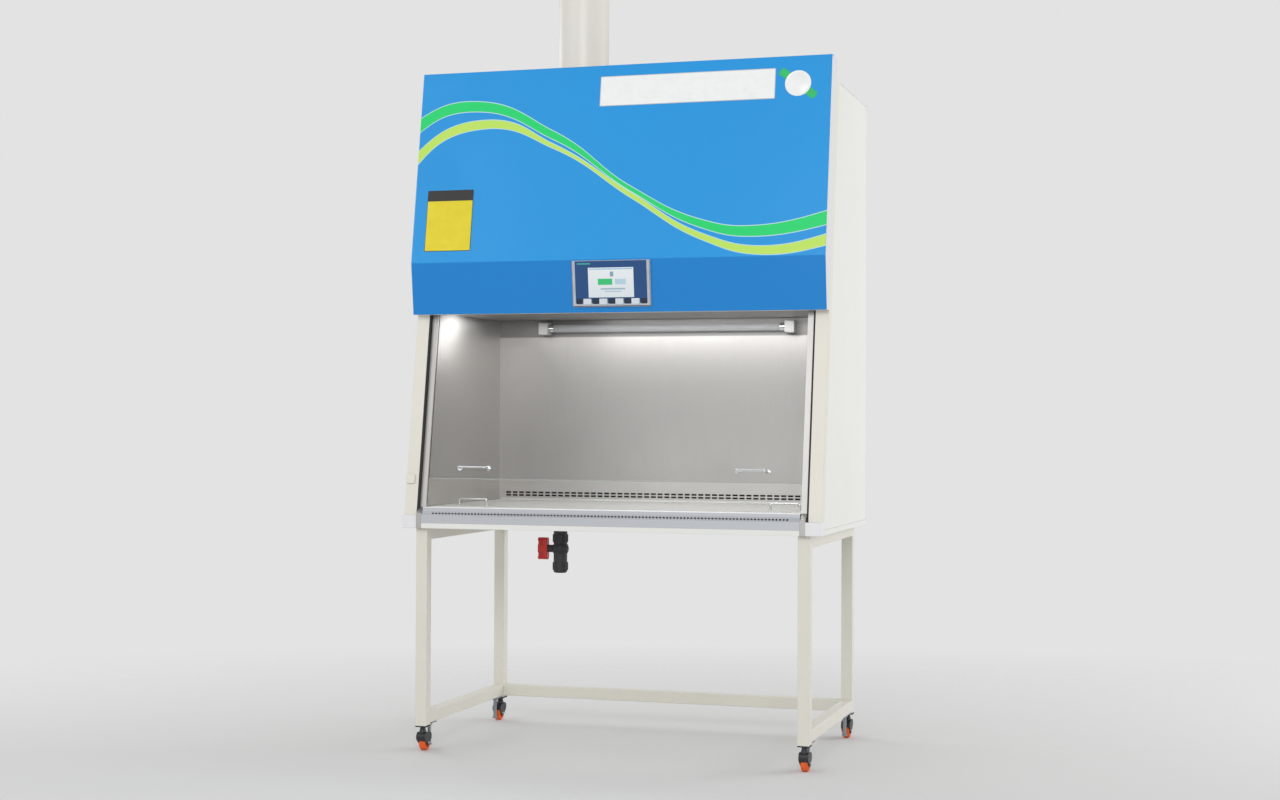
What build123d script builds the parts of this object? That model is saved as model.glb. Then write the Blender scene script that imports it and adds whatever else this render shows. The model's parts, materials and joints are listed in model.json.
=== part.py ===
from build123d import *
import os
from math import atan2, cos, radians, sin, tan

# Ducted class II biosafety cabinet on a rolling tube stand.
# Millimetres, +Z up, +X to the operator's right, -Y towards the operator.
# Origin: on the floor, under the centre of the overall box. The sections below are drawn
# from the centre of the stand, and finish() moves each piece over.

# ---------------------------------------------------------------- driving sizes
work_width = 1220.0           # between the stainless side liners
stand_inset = 37.0            # leg's outer face inside the cabinet's side
stand_depth = 730.0           # front face of the front legs to back face of the rear legs
stand_top = 710.0             # underside of the cabinet
tube_size = 38.0              # square stand tube
tube_wall = 2.0
tube_corner = 3.0
leg_stub = 6.0                # leg end below the lower rails
front_overhang = 25.0         # cabinet base ahead of the front legs

panel_sheet = 2.0             # painted steel panels
liner_sheet = 2.0             # stainless work chamber
base_lip = 16.0               # folded edge of the base pan
lean = radians(9.0)           # the sash and the front lean back by this much
post_setback = 10.7           # post face behind the base front, at the cabinet's underside
post_depth = 40.0             # square to the leaning front
post_width = 41.0
post_foot_height = 41.0
gasket_width = 6.0

body_height = 1400.0          # cabinet's underside to its roof
hood_rise = 66.0              # hood top above the roof
hood_overlap = 9.0            # hood's lower edge below the chamber ceiling
hood_standoff = 84.6          # hood face ahead of the post face, at the crease and above
hood_bottom_standoff = 37.6   # hood face ahead of the post face, at its bottom edge

sill_rise = 66.0              # sill top above the cabinet's underside
sill_face = 40.0              # sill's upright face, from the same underside
sill_slope_height = 15.0
sill_slope_run = 12.0
tray_rise = 2.0               # work surface above the sill
chamber_height = 622.0        # work surface to ceiling
rear_plenum = 62.0            # back liner face to the outside of the rear panel

sash_thickness = 6.0
sash_height = 690.0
sash_depth = 18.0             # glass face behind the post face
sash_opening = 89.0           # lower glass edge above the sill, part open
sash_slack = 0.3              # between the glass and its guide slot, each side
guide_lip = 6.0               # guide in front of the glass
guide_engagement = 10.0       # glass edge inside the guide slot
guide_bottom_gap = 2.0        # glass edge to the slot's floor
guide_web = 8.0               # solid part of the guide behind the slot's floor

hmi_width = 256.0
hmi_height = 145.0
hmi_offset_x = -3.0
hmi_thickness = 7.0
hmi_body_depth = 38.0
hmi_margin = 17.5             # hood band below the touch panel
crease_margin = 2.0           # hood band above it

duct_x = -222.0
duct_y = 55.0
duct_radius = 83.5
duct_sheet = 2.0
duct_rise = 370.0             # duct's open end above the roof
collar_height = 60.0

drain_x = -228.0
drain_y = -145.0
valve_drop = 71.0             # ball's centre below the cabinet
valve_tail = 77.0             # open end below the ball's centre
valve_radius = 22.0

wheel_radius = 24.0
wheel_width = 22.0
caster_neck = 33.0            # wheel top to the leg end
caster_trail = 14.0
axle_radius = 4.0
running_clearance = 0.05
face_gap = 0.3                # between faces that slide or roll past each other
jack_radius = 6.0
jack_offset = 52.0            # levelling jack from the leg's centre, along the side rail

# ---------------------------------------------------------------- worked-out places
half_work = work_width / 2
guide_inner_x = half_work - liner_sheet
slot_floor = guide_inner_x + guide_engagement + guide_bottom_gap
gasket_x = slot_floor + guide_web
post_x = gasket_x + gasket_width
half_width = post_x + post_width
overall_width = 2 * half_width
stand_half = half_width - stand_inset
leg_x = stand_half - tube_size / 2
leg_y = stand_depth / 2 - tube_size / 2
back_y = stand_depth / 2
base_front = -stand_depth / 2 - front_overhang
back_liner_y = back_y - rear_plenum
wall_x = half_work + liner_sheet

caster_height = 2 * wheel_radius + caster_neck
rail_bottom = caster_height + leg_stub
base_top = stand_top + base_lip
foot_top = stand_top + post_foot_height
sill_height = stand_top + sill_rise
sill_slope_low = stand_top + sill_face
sill_slope_high = sill_slope_low + sill_slope_height
work_surface = sill_height + tray_rise
ceiling_height = work_surface + chamber_height
sash_rest_height = sill_height + sash_opening
guide_front = sash_depth - guide_lip
hood_bottom = ceiling_height - hood_overlap
hood_crease = hood_bottom + hmi_margin + hmi_height + crease_margin
roof_height = stand_top + body_height
hood_top = roof_height + hood_rise
duct_top = roof_height + duct_rise
valve_center = stand_top - valve_drop
valve_bottom = valve_center - valve_tail


def front_y(z, depth=0.0):
    """Y of the plane that lies depth behind the leaning post face, at height z."""
    return base_front + post_setback + (z - stand_top) * tan(lean) + depth / cos(lean)


def hood_y(z):
    """Y of the hood's painted face at height z."""
    if z >= hood_crease:
        return front_y(z) - hood_standoff
    share = (z - hood_bottom) / (hood_crease - hood_bottom)
    low = front_y(hood_bottom) - hood_bottom_standoff
    high = front_y(hood_crease) - hood_standoff
    return low + share * (high - low)


def side_section(points, x):
    """A closed outline in Y and Z, standing at one X."""
    with BuildSketch(Plane.YZ.offset(x)) as section:
        with BuildLine():
            Polyline(*points, close=True)
        make_face()
    return section.sketch


def leaning_strip(x_low, x_high, z_low, z_high, near, far):
    """A bar that follows the leaning front from depth near to depth far, cut level."""
    outline = [
        (front_y(z_low, near), z_low),
        (front_y(z_high, near), z_high),
        (front_y(z_high, far), z_high),
        (front_y(z_low, far), z_low),
    ]
    with BuildPart() as strip:
        extrude(side_section(outline, x_low), amount=x_high - x_low)
    return strip.part


def mirrored(source):
    """The left-hand copy of a right-hand piece."""
    with BuildPart() as copy:
        mirror(source, about=Plane.YZ)
    return copy.part


def bent_handle(plane, span, rise, rod, bend, foot_radius, foot_height):
    """A round rod bent to a flat arch, on two round feet."""
    with BuildPart() as handle:
        with BuildLine(plane) as path:
            FilletPolyline(
                (-span / 2, foot_height / 2),
                (-span / 2, rise),
                (span / 2, rise),
                (span / 2, foot_height / 2),
                radius=bend,
            )
        with BuildSketch(Plane(origin=path.line @ 0, z_dir=path.line % 0)):
            Circle(rod / 2)
        sweep(path=path.line)
        feet = [plane.from_local_coords((x, 0)) for x in (-span / 2, span / 2)]
        for foot in feet:
            with BuildSketch(Plane(origin=foot, x_dir=plane.x_dir, z_dir=plane.y_dir)):
                Circle(foot_radius)
            extrude(amount=foot_height)
    return handle.part


os.makedirs("parts", exist_ok=True)


def finish(piece, label):
    """Move a finished piece over the overall origin, label it and write its file."""
    placed = piece.moved(Location((0, -(base_front + back_y) / 2, 0)))
    placed.label = label
    export_step(placed, f"parts/{label}.step")


# ---------------------------------------------------------------- stand
tube_inner = tube_size - 2 * tube_wall
rail_levels = (rail_bottom, stand_top - tube_size)

with BuildPart() as stand_side_right:
    with BuildSketch(Plane.YZ.offset(leg_x - tube_size / 2)):
        with Locations(*[(y, (caster_height + stand_top) / 2) for y in (-leg_y, leg_y)]):
            Rectangle(tube_size, stand_top - caster_height)
        with Locations(*[(0, level + tube_size / 2) for level in rail_levels]):
            Rectangle(2 * leg_y, tube_size)
    extrude(amount=tube_size)
    fillet(stand_side_right.faces().filter_by(Axis.X).edges(), radius=tube_corner)
    with BuildSketch(Plane.XY.offset(caster_height)):
        with Locations((leg_x, -leg_y), (leg_x, leg_y)):
            Rectangle(tube_inner, tube_inner)
    extrude(amount=stand_top - caster_height, mode=Mode.SUBTRACT)
    with BuildSketch(Plane.XZ.offset(-leg_y)):
        with Locations(*[(leg_x, level + tube_size / 2) for level in rail_levels]):
            Rectangle(tube_inner, tube_inner)
    extrude(amount=2 * leg_y, mode=Mode.SUBTRACT)
    with BuildSketch(Plane.XY.offset(rail_bottom - tube_wall)):
        with Locations((leg_x, jack_offset - leg_y), (leg_x, leg_y - jack_offset)):
            Circle(jack_radius + 1.0)
    extrude(amount=3 * tube_wall, mode=Mode.SUBTRACT)
finish(stand_side_right.part, "stand_side_right")
finish(mirrored(stand_side_right.part), "stand_side_left")

rear_rail_half = stand_half - tube_size
with BuildPart() as stand_rear_rails:
    with BuildSketch(Plane.YZ.offset(-rear_rail_half)):
        with Locations(*[(leg_y, level + tube_size / 2) for level in rail_levels]):
            RectangleRounded(tube_size, tube_size, tube_corner)
            Rectangle(tube_inner, tube_inner, mode=Mode.SUBTRACT)
    extrude(amount=2 * rear_rail_half)
finish(stand_rear_rails.part, "stand_rear_rails")

# ---------------------------------------------------------------- casters and jacks
flange_thickness = 4.0
plug_height = 22.0
stem_radius = 6.0
stem_head_radius = 8.5
stem_head_height = 3.0
neck_radius = 8.5
fork_wall = 3.0
fork_side_gap = 1.0
hood_gap = 3.0
tread_chamfer = 3.5
hub_dish = 3.0
hub_wall = 3.0
neck_top = caster_height - flange_thickness - face_gap
hood_crown = 2 * wheel_radius + hood_gap + 9.0
fork_half = wheel_width / 2 + fork_side_gap + fork_wall
stem_bottom = 2 * wheel_radius + hood_gap + 1.0

with BuildPart() as caster_flanges:
    for x in (-leg_x, leg_x):
        for y in (-leg_y, leg_y):
            with BuildSketch(Plane.XY.offset(caster_height)) as plug:
                with Locations((x, y)):
                    Rectangle(tube_inner - 2 * face_gap, tube_inner - 2 * face_gap)
            extrude(amount=plug_height)
            with BuildSketch(Plane.XY.offset(caster_height - flange_thickness)):
                with Locations((x, y)):
                    RectangleRounded(tube_size, tube_size, tube_corner)
            extrude(amount=flange_thickness)
            with BuildSketch(Plane.XY.offset(stem_bottom)):
                with Locations((x, y)):
                    Circle(stem_radius)
            extrude(amount=caster_height - flange_thickness - stem_bottom)
            with BuildSketch(Plane.XY.offset(stem_bottom)):
                with Locations((x, y)):
                    Circle(stem_head_radius)
            extrude(amount=stem_head_height)
finish(caster_flanges.part, "caster_flanges")


def caster_fork(x, y, trail):
    """Moulded hood and fork that carries the axle and swivels on the stem."""
    axle = (y + trail, wheel_radius)
    with BuildPart() as fork:
        with BuildSketch(Plane.YZ.offset(x - fork_half)):
            with Locations(axle):
                Circle(9.0)
            with Locations((y - trail * 0.3, hood_crown - 15.0)):
                Circle(15.0)
            with Locations((y + trail * 1.7, hood_crown - 17.0)):
                Circle(14.0)
            make_hull()
        extrude(amount=2 * fork_half)
        with BuildSketch(Plane.YZ.offset(x - wheel_width / 2 - fork_side_gap)):
            with Locations(axle):
                Circle(wheel_radius + hood_gap)
            with Locations((axle[0], axle[1] - wheel_radius)):
                Rectangle(2 * wheel_radius + 2 * hood_gap, 2 * wheel_radius)
        extrude(amount=wheel_width + 2 * fork_side_gap, mode=Mode.SUBTRACT)
        with BuildSketch(Plane.XY.offset(hood_crown - 8.0)):
            with Locations((x, y)):
                Circle(neck_radius + 5.0)
        with BuildSketch(Plane.XY.offset(neck_top - 5.0)):
            with Locations((x, y)):
                Circle(neck_radius)
        loft()
        with BuildSketch(Plane.XY.offset(neck_top - 5.0)):
            with Locations((x, y)):
                Circle(neck_radius)
        extrude(amount=5.0)
        with BuildSketch(Plane.XY.offset(stem_bottom - 2.0)):
            with Locations((x, y)):
                Circle(stem_radius + running_clearance)
        extrude(amount=caster_height, mode=Mode.SUBTRACT)
        with BuildSketch(Plane.XY.offset(stem_bottom - 6.0)):
            with Locations((x, y)):
                Circle(stem_head_radius + face_gap)
        extrude(amount=6.0 + stem_head_height + face_gap, mode=Mode.SUBTRACT)
        with BuildSketch(Plane.YZ.offset(x - fork_half - 1.5)):
            with Locations(axle):
                Circle(axle_radius)
        extrude(amount=2 * fork_half + 3.0)
    return fork.part


def caster_wheel(x, y, trail):
    """Polyurethane wheel with a bevelled tread and a dished hub."""
    axle_plane = Plane(origin=(x, y + trail, wheel_radius), x_dir=(0, 1, 0), z_dir=(1, 0, 0))
    half = wheel_width / 2
    with BuildPart() as wheel:
        with BuildSketch(axle_plane.offset(-half)):
            Circle(wheel_radius)
        extrude(amount=wheel_width)
        chamfer(wheel.edges().filter_by(GeomType.CIRCLE), tread_chamfer)
        for face_side in (-half, half - hub_dish):
            with BuildSketch(axle_plane.offset(face_side)):
                Circle(wheel_radius * 0.62)
                Circle(axle_radius + hub_wall, mode=Mode.SUBTRACT)
            extrude(amount=hub_dish, mode=Mode.SUBTRACT)
        with BuildSketch(axle_plane.offset(-half)):
            Circle(axle_radius + running_clearance)
        extrude(amount=wheel_width, mode=Mode.SUBTRACT)
    return wheel.part


jack_foot_radius = 9.0
jack_foot_height = 5.0
jack_ground_gap = 12.0
jack_reach = 22.0             # stud above the rail's underside
jack_nut_height = 8.0
jack_plate = 4.0


def levelling_jack(x, y):
    """Threaded stud with a foot that screws down to take the load off the casters."""
    with BuildPart() as jack:
        with BuildSketch(Plane.XY.offset(jack_ground_gap)):
            with Locations((x, y)):
                Circle(jack_foot_radius)
        extrude(amount=jack_foot_height)
        with BuildSketch(Plane.XY.offset(jack_ground_gap)):
            with Locations((x, y)):
                Circle(jack_radius)
        extrude(amount=rail_bottom - jack_plate - jack_ground_gap + jack_reach)
    return jack.part


with BuildPart() as jack_nuts:
    for x in (-leg_x, leg_x):
        for y in (-leg_y + jack_offset, leg_y - jack_offset):
            with BuildSketch(Plane.XY.offset(rail_bottom - jack_plate)):
                with Locations((x, y)):
                    RectangleRounded(tube_size - 2, tube_size, tube_corner)
                    Circle(jack_radius + running_clearance, mode=Mode.SUBTRACT)
            extrude(amount=jack_plate)
            with BuildSketch(Plane.XY.offset(rail_bottom - jack_plate - jack_nut_height)):
                with Locations((x, y)):
                    RegularPolygon(jack_radius * 1.7, 6)
                    Circle(jack_radius + running_clearance, mode=Mode.SUBTRACT)
            extrude(amount=jack_nut_height)
finish(jack_nuts.part, "jack_nuts")

corners = {
    "front_left": (-leg_x, -leg_y),
    "front_right": (leg_x, -leg_y),
    "rear_left": (-leg_x, leg_y),
    "rear_right": (leg_x, leg_y),
}
for corner, (x, y) in corners.items():
    inward = 1 if y < 0 else -1
    finish(caster_fork(x, y, inward * caster_trail), f"caster_fork_{corner}")
    finish(caster_wheel(x, y, inward * caster_trail), f"caster_wheel_{corner}")
    finish(levelling_jack(x, y + inward * jack_offset), f"jack_{corner}")

# ---------------------------------------------------------------- base and drain
pan_notch = front_y(base_top, post_depth) - base_front
drain_bore = 13.35            # takes 3/4 inch drain pipe
spigot_radius = 15.0
drain_pan_height = 30.0
drain_pan_front = front_y(base_top, post_depth) + 4.0
drain_pan_floor = stand_top + panel_sheet

with BuildPart() as base_pan:
    with BuildSketch(Plane.XY.offset(stand_top)) as pan_outline:
        with Locations((0, (base_front + back_y) / 2)):
            Rectangle(overall_width, back_y - base_front)
        notch_x = (half_work + half_width) / 2
        with Locations(*[(side * notch_x, base_front + pan_notch / 2) for side in (-1, 1)]):
            Rectangle(half_width - half_work, pan_notch, mode=Mode.SUBTRACT)
    extrude(amount=base_lip)
    with BuildSketch(Plane.XY.offset(drain_pan_floor)):
        offset(pan_outline.sketch, amount=-panel_sheet)
    extrude(amount=base_lip, mode=Mode.SUBTRACT)
    with BuildSketch(Plane.XY.offset(stand_top)):
        with Locations((drain_x, drain_y)):
            Circle(spigot_radius + 1.0)
    extrude(amount=panel_sheet, mode=Mode.SUBTRACT)
finish(base_pan.part, "base_pan")

with BuildPart() as drain_pan:
    with BuildSketch(Plane.XY.offset(drain_pan_floor)) as catch_outline:
        with Locations((0, (drain_pan_front + back_liner_y) / 2)):
            RectangleRounded(work_width - 2 * liner_sheet, back_liner_y - drain_pan_front - 4.0, 12.0)
    extrude(amount=drain_pan_height)
    with BuildSketch(Plane.XY.offset(drain_pan_floor + liner_sheet)):
        offset(catch_outline.sketch, amount=-liner_sheet)
    extrude(amount=drain_pan_height, mode=Mode.SUBTRACT)
    with BuildSketch(Plane.XY.offset(drain_pan_floor)):
        with Locations((drain_x, drain_y)):
            Circle(spigot_radius)
    extrude(amount=-10.0)
    with BuildSketch(Plane.XY.offset(drain_pan_floor + liner_sheet)):
        with Locations((drain_x, drain_y)):
            Circle(drain_bore)
    extrude(amount=-20.0, mode=Mode.SUBTRACT)
finish(drain_pan.part, "drain_pan")

valve_top = drain_pan_floor - 10.0
ball_radius = 27.0
union_radius = 25.0
union_height = 26.0
bonnet_reach = 42.0           # end of the stem's boss from the valve's axis
bonnet_radius = 12.0
valve_bevel = 4.0
stem_bore = 5.0
handle_length = 71.0
handle_width = 20.0
handle_depth = 32.0
stem_plane = Plane(origin=(drain_x, drain_y, valve_center), x_dir=(0, 1, 0), z_dir=(-1, 0, 0))

with BuildPart() as drain_valve_body:
    with BuildSketch(Plane.XY.offset(valve_bottom)):
        with Locations((drain_x, drain_y)):
            Circle(valve_radius)
    extrude(amount=valve_top - valve_bottom)
    for level in (valve_bottom + 8.0, valve_center + ball_radius - 6.0):
        with BuildSketch(Plane.XY.offset(level)):
            with Locations((drain_x, drain_y)):
                RegularPolygon(union_radius, 12)
        extrude(amount=union_height)
    with Locations((drain_x, drain_y, valve_center)):
        Sphere(ball_radius)
    with BuildSketch(stem_plane):
        Circle(bonnet_radius)
    extrude(amount=bonnet_reach)
    with BuildSketch(Plane.XY.offset(valve_bottom)):
        with Locations((drain_x, drain_y)):
            Circle(drain_bore)
    extrude(amount=valve_center - valve_bottom, mode=Mode.SUBTRACT)
    with BuildSketch(stem_plane.offset(ball_radius - 2.0)):
        Circle(stem_bore + running_clearance)
    extrude(amount=bonnet_reach, mode=Mode.SUBTRACT)
    end_circles = drain_valve_body.edges().group_by(Axis.Z)[0].filter_by(GeomType.CIRCLE)
    chamfer(end_circles.sort_by(SortBy.RADIUS)[-1:], valve_bevel)
finish(drain_valve_body.part, "drain_valve_body")

handle_plane = stem_plane.offset(bonnet_reach + face_gap)
with BuildPart() as drain_valve_handle:
    with BuildSketch(handle_plane):
        SlotOverall(handle_length, handle_width, rotation=90)
    extrude(amount=handle_depth)
    with BuildSketch(handle_plane.offset(handle_depth * 0.45)):
        with Locations((0, handle_length * 0.27), (0, -handle_length * 0.27)):
            SlotOverall(handle_length * 0.34, handle_width * 1.2, rotation=90)
    extrude(amount=handle_depth, mode=Mode.SUBTRACT)
    with BuildSketch(handle_plane):
        SlotOverall(handle_length, handle_width * 0.45, rotation=90)
    extrude(amount=handle_depth)
    with BuildSketch(stem_plane.offset(ball_radius)):
        Circle(stem_bore)
    extrude(amount=bonnet_reach - ball_radius + handle_depth / 4)
finish(drain_valve_handle.part, "drain_valve_handle")

# ---------------------------------------------------------------- outer panels
panel_top = roof_height - panel_sheet
panel_back = back_y - panel_sheet


def side_panel_outline(inset):
    """Outline of a side panel, drawn in from its edges by inset."""
    low = base_top + inset
    high = panel_top - inset
    return [
        (front_y(low, post_depth) + inset, low),
        (front_y(high, post_depth) + inset, high),
        (panel_back - inset, high),
        (panel_back - inset, low),
    ]


with BuildPart() as side_panel_right:
    extrude(side_section(side_panel_outline(0.0), wall_x), amount=half_width - wall_x)
    fillet(side_panel_right.faces().sort_by(Axis.X)[-1].edges(), radius=panel_sheet)
    extrude(
        side_section(side_panel_outline(panel_sheet), wall_x),
        amount=half_width - wall_x - panel_sheet,
        mode=Mode.SUBTRACT,
    )
finish(side_panel_right.part, "side_panel_right")
finish(mirrored(side_panel_right.part), "side_panel_left")

stiffener_inset = 120.0       # outer stiffeners from the panel's ends
stiffener_end_gap = 20.0
stiffener_width = 30.0
stiffener_depth = 12.0
with BuildPart() as rear_panel:
    with BuildSketch(Plane.XZ.offset(-back_y)):
        with Locations((0, (base_top + panel_top) / 2)):
            Rectangle(overall_width, panel_top - base_top)
    extrude(amount=panel_sheet)
    with BuildSketch(Plane.XZ.offset(-panel_back)):
        stiffener_low = base_top + stiffener_inset
        stiffener_high = panel_top - stiffener_inset
        for level in (stiffener_low, (base_top + panel_top) / 2, stiffener_high):
            with Locations((0, level)):
                Rectangle(2 * (wall_x - stiffener_end_gap), stiffener_width)
    extrude(amount=stiffener_depth)
    fillet(rear_panel.edges().filter_by(Axis.Z).group_by(Axis.Y)[-1], radius=1.5)
finish(rear_panel.part, "rear_panel")

roof_front = front_y(roof_height)
with BuildPart() as roof_panel:
    with BuildSketch(Plane.XY.offset(panel_top)):
        with Locations((0, (roof_front + back_y) / 2)):
            Rectangle(overall_width, back_y - roof_front)
        with Locations((duct_x, duct_y)):
            Circle(duct_radius - duct_sheet, mode=Mode.SUBTRACT)
    extrude(amount=panel_sheet)
finish(roof_panel.part, "roof_panel")

# ---------------------------------------------------------------- exhaust
collar_flange = 28.0
with BuildPart() as duct_collar:
    with BuildSketch(Plane.XY.offset(roof_height)):
        with Locations((duct_x, duct_y)):
            Circle(duct_radius + collar_flange)
            Circle(duct_radius + face_gap, mode=Mode.SUBTRACT)
    extrude(amount=3.0)
    with BuildSketch(Plane.XY.offset(roof_height)):
        with Locations((duct_x, duct_y)):
            Circle(duct_radius + face_gap + duct_sheet)
            Circle(duct_radius + face_gap, mode=Mode.SUBTRACT)
    extrude(amount=collar_height)
    with BuildSketch(Plane.XY.offset(roof_height + 3.0)):
        with Locations((duct_x, duct_y)):
            with PolarLocations(duct_radius + collar_flange * 0.62, 8):
                RegularPolygon(6.0, 6)
    extrude(amount=4.0)
finish(duct_collar.part, "duct_collar")

with BuildPart() as exhaust_duct:
    with BuildSketch(Plane.XY.offset(roof_height)):
        with Locations((duct_x, duct_y)):
            Circle(duct_radius)
            Circle(duct_radius - duct_sheet, mode=Mode.SUBTRACT)
    extrude(amount=duct_top - roof_height)
finish(exhaust_duct.part, "exhaust_duct")

# ---------------------------------------------------------------- posts, guides and seals
with BuildPart() as posts:
    for x in (post_x, -half_width):
        add(leaning_strip(x, x + post_width, foot_top, panel_top, 0.0, post_depth))
        inner_x = x + panel_sheet
        inner_width = post_width - 2 * panel_sheet
        add(
            leaning_strip(inner_x, inner_x + inner_width, foot_top, panel_top, panel_sheet, post_depth),
            mode=Mode.SUBTRACT,
        )
finish(posts.part, "posts")

with BuildPart() as post_feet:
    foot_outline = [
        (base_front, stand_top),
        (base_front, foot_top),
        (front_y(foot_top, post_depth), foot_top),
        (front_y(stand_top, post_depth), stand_top),
    ]
    for x in (gasket_x, -half_width):
        extrude(side_section(foot_outline, x), amount=half_width - gasket_x)
    fillet(post_feet.edges().filter_by(Axis.X).group_by(Axis.Y)[0], radius=2.0)
finish(post_feet.part, "post_feet")

guide_bottom = sill_height
guide_top = panel_top
with BuildPart() as sash_gaskets:
    for x in (gasket_x, -post_x):
        add(leaning_strip(x, x + gasket_width, foot_top, guide_top, 2.0, post_depth))
finish(sash_gaskets.part, "sash_gaskets")

slot_near = sash_depth - sash_slack
slot_far = sash_depth + sash_thickness + sash_slack
with BuildPart() as guide_right:
    for near, far in ((guide_front, slot_near), (slot_far, post_depth)):
        add(leaning_strip(guide_inner_x, slot_floor, guide_bottom, guide_top, near, far))
    add(leaning_strip(slot_floor, gasket_x, guide_bottom, guide_top, guide_front, post_depth))
with BuildPart() as sash_guides:
    add(guide_right.part)
    mirror(guide_right.part, about=Plane.YZ)
finish(sash_guides.part, "sash_guides")

catch_width = 30.0
catch_height = 9.0
with BuildPart() as post_catch:
    catch_plane = Plane(
        origin=(catch_width / 2 - half_width, front_y(sash_rest_height), sash_rest_height),
        x_dir=(1, 0, 0),
        z_dir=(0, -cos(lean), sin(lean)),
    )
    with BuildSketch(catch_plane):
        RectangleRounded(catch_width, catch_width, 4.0)
    extrude(amount=catch_height)
    fillet(post_catch.faces().sort_by(Axis.Y)[0].edges(), radius=2.0)
finish(post_catch.part, "post_catch")

# ---------------------------------------------------------------- front sill
perforation_pitch = 11.0
perforation_size = 6.0
perforation_margin = 30.0     # unpierced sill at each end
sill_flange = 46.0
sill_hem = 4.0
half_sheet = liner_sheet / 2
sill_front = base_front
sill_rear = sill_front + sill_slope_run + sill_flange
slope_angle = atan2(sill_slope_run, sill_slope_high - sill_slope_low)
slope_plane = Plane(
    origin=(0, sill_front + sill_slope_run / 2, (sill_slope_low + sill_slope_high) / 2),
    x_dir=(1, 0, 0),
    z_dir=(0, -cos(slope_angle), sin(slope_angle)),
)
perforation_count = int((work_width - 2 * perforation_margin) / perforation_pitch)

with BuildPart() as front_sill:
    with BuildSketch(Plane.YZ.offset(-half_work)):
        with BuildLine():
            Polyline(
                (sill_front + half_sheet, base_top),
                (sill_front + half_sheet, sill_slope_low),
                (sill_front + half_sheet + sill_slope_run, sill_slope_high),
                (sill_front + half_sheet + sill_slope_run, sill_height - half_sheet),
                (sill_rear, sill_height - half_sheet),
                (sill_rear, sill_slope_high - sill_hem),
            )
        trace(line_width=liner_sheet)
    extrude(amount=work_width)
    with BuildSketch(slope_plane):
        with GridLocations(perforation_pitch, 1.0, perforation_count, 1):
            Rectangle(perforation_size, perforation_size)
    extrude(amount=8.0, both=True, mode=Mode.SUBTRACT)
finish(front_sill.part, "front_sill")

with BuildPart() as sill_ends:
    end_outline = [
        (base_front + half_sheet, stand_top + half_sheet),
        (base_front + half_sheet, (sill_slope_low + sill_slope_high) / 2),
        (front_y(guide_bottom, guide_front), guide_bottom),
        (front_y(guide_bottom, post_depth), guide_bottom),
        (front_y(stand_top, post_depth), stand_top + half_sheet),
    ]
    for x in (half_work, -gasket_x):
        extrude(side_section(end_outline, x), amount=gasket_x - half_work)
finish(sill_ends.part, "sill_ends")

# ---------------------------------------------------------------- work chamber
ledge_width = 14.0
tray_thickness = 10.0
ledge_top = work_surface - tray_thickness
liner_bottom = base_top + liner_sheet
tray_gap = 2.0
tray_front = sill_rear + tray_gap
tray_back = back_liner_y - tray_gap
slot_length = 18.0
slot_height = 6.0
slot_pitch = 24.0
slot_rows = (work_surface + 14.0, work_surface + 24.0)
slot_count = int((work_width - slot_pitch) / slot_pitch)

with BuildPart() as side_liners:
    liner_outline = [
        (front_y(liner_bottom, post_depth), liner_bottom),
        (front_y(ceiling_height, post_depth), ceiling_height),
        (back_liner_y, ceiling_height),
        (back_liner_y, liner_bottom),
    ]
    for x in (half_work, -wall_x):
        extrude(side_section(liner_outline, x), amount=liner_sheet)
    with BuildSketch(Plane.XY.offset(ledge_top)):
        with Locations(*[
            (side * (half_work - ledge_width / 2), (tray_front + tray_back) / 2) for side in (-1, 1)
        ]):
            Rectangle(ledge_width, tray_back - tray_front)
    extrude(amount=-liner_sheet)
finish(side_liners.part, "side_liners")

with BuildPart() as back_liner:
    with BuildSketch(Plane.XZ.offset(-back_liner_y)):
        with Locations((0, (liner_bottom + ceiling_height) / 2)):
            Rectangle(2 * wall_x, ceiling_height - liner_bottom)
        for level in slot_rows:
            with Locations((0, level)):
                with GridLocations(slot_pitch, 1.0, slot_count, 1):
                    Rectangle(slot_length, slot_height, mode=Mode.SUBTRACT)
    extrude(amount=-liner_sheet)
finish(back_liner.part, "back_liner")

with BuildPart() as ceiling_diffuser:
    with BuildSketch(Plane.XY.offset(ceiling_height)):
        ceiling_front = front_y(ceiling_height + liner_sheet, post_depth)
        with Locations((0, (ceiling_front + back_liner_y + liner_sheet) / 2)):
            Rectangle(2 * wall_x, back_liner_y + liner_sheet - ceiling_front)
    extrude(amount=liner_sheet)
finish(ceiling_diffuser.part, "ceiling_diffuser")

plenum_floor = ceiling_height + liner_sheet
finish(
    leaning_strip(-wall_x, wall_x, plenum_floor, panel_top, post_depth, post_depth + panel_sheet),
    "plenum_front",
)

tray_side_gap = 1.0           # tray edge to the sash guide
tray_corner = 6.0
tray_kerb = 5.0               # upstand along the rear edge
tray_half = guide_inner_x - tray_side_gap
with BuildPart() as work_tray:
    with BuildSketch(Plane.XY.offset(ledge_top)) as tray_outline:
        with Locations((0, (tray_front + tray_back) / 2)):
            RectangleRounded(2 * tray_half, tray_back - tray_front, tray_corner)
    extrude(amount=tray_thickness)
    with BuildSketch(Plane.XY.offset(ledge_top)):
        offset(tray_outline.sketch, amount=-1.5 * liner_sheet)
    extrude(amount=tray_thickness - liner_sheet, mode=Mode.SUBTRACT)
    with BuildSketch(Plane.XY.offset(work_surface)):
        with Locations((0, tray_back - tray_corner)):
            Rectangle(2 * (tray_half - tray_corner), 2 * liner_sheet)
    extrude(amount=tray_kerb)
finish(work_tray.part, "work_tray")

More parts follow.
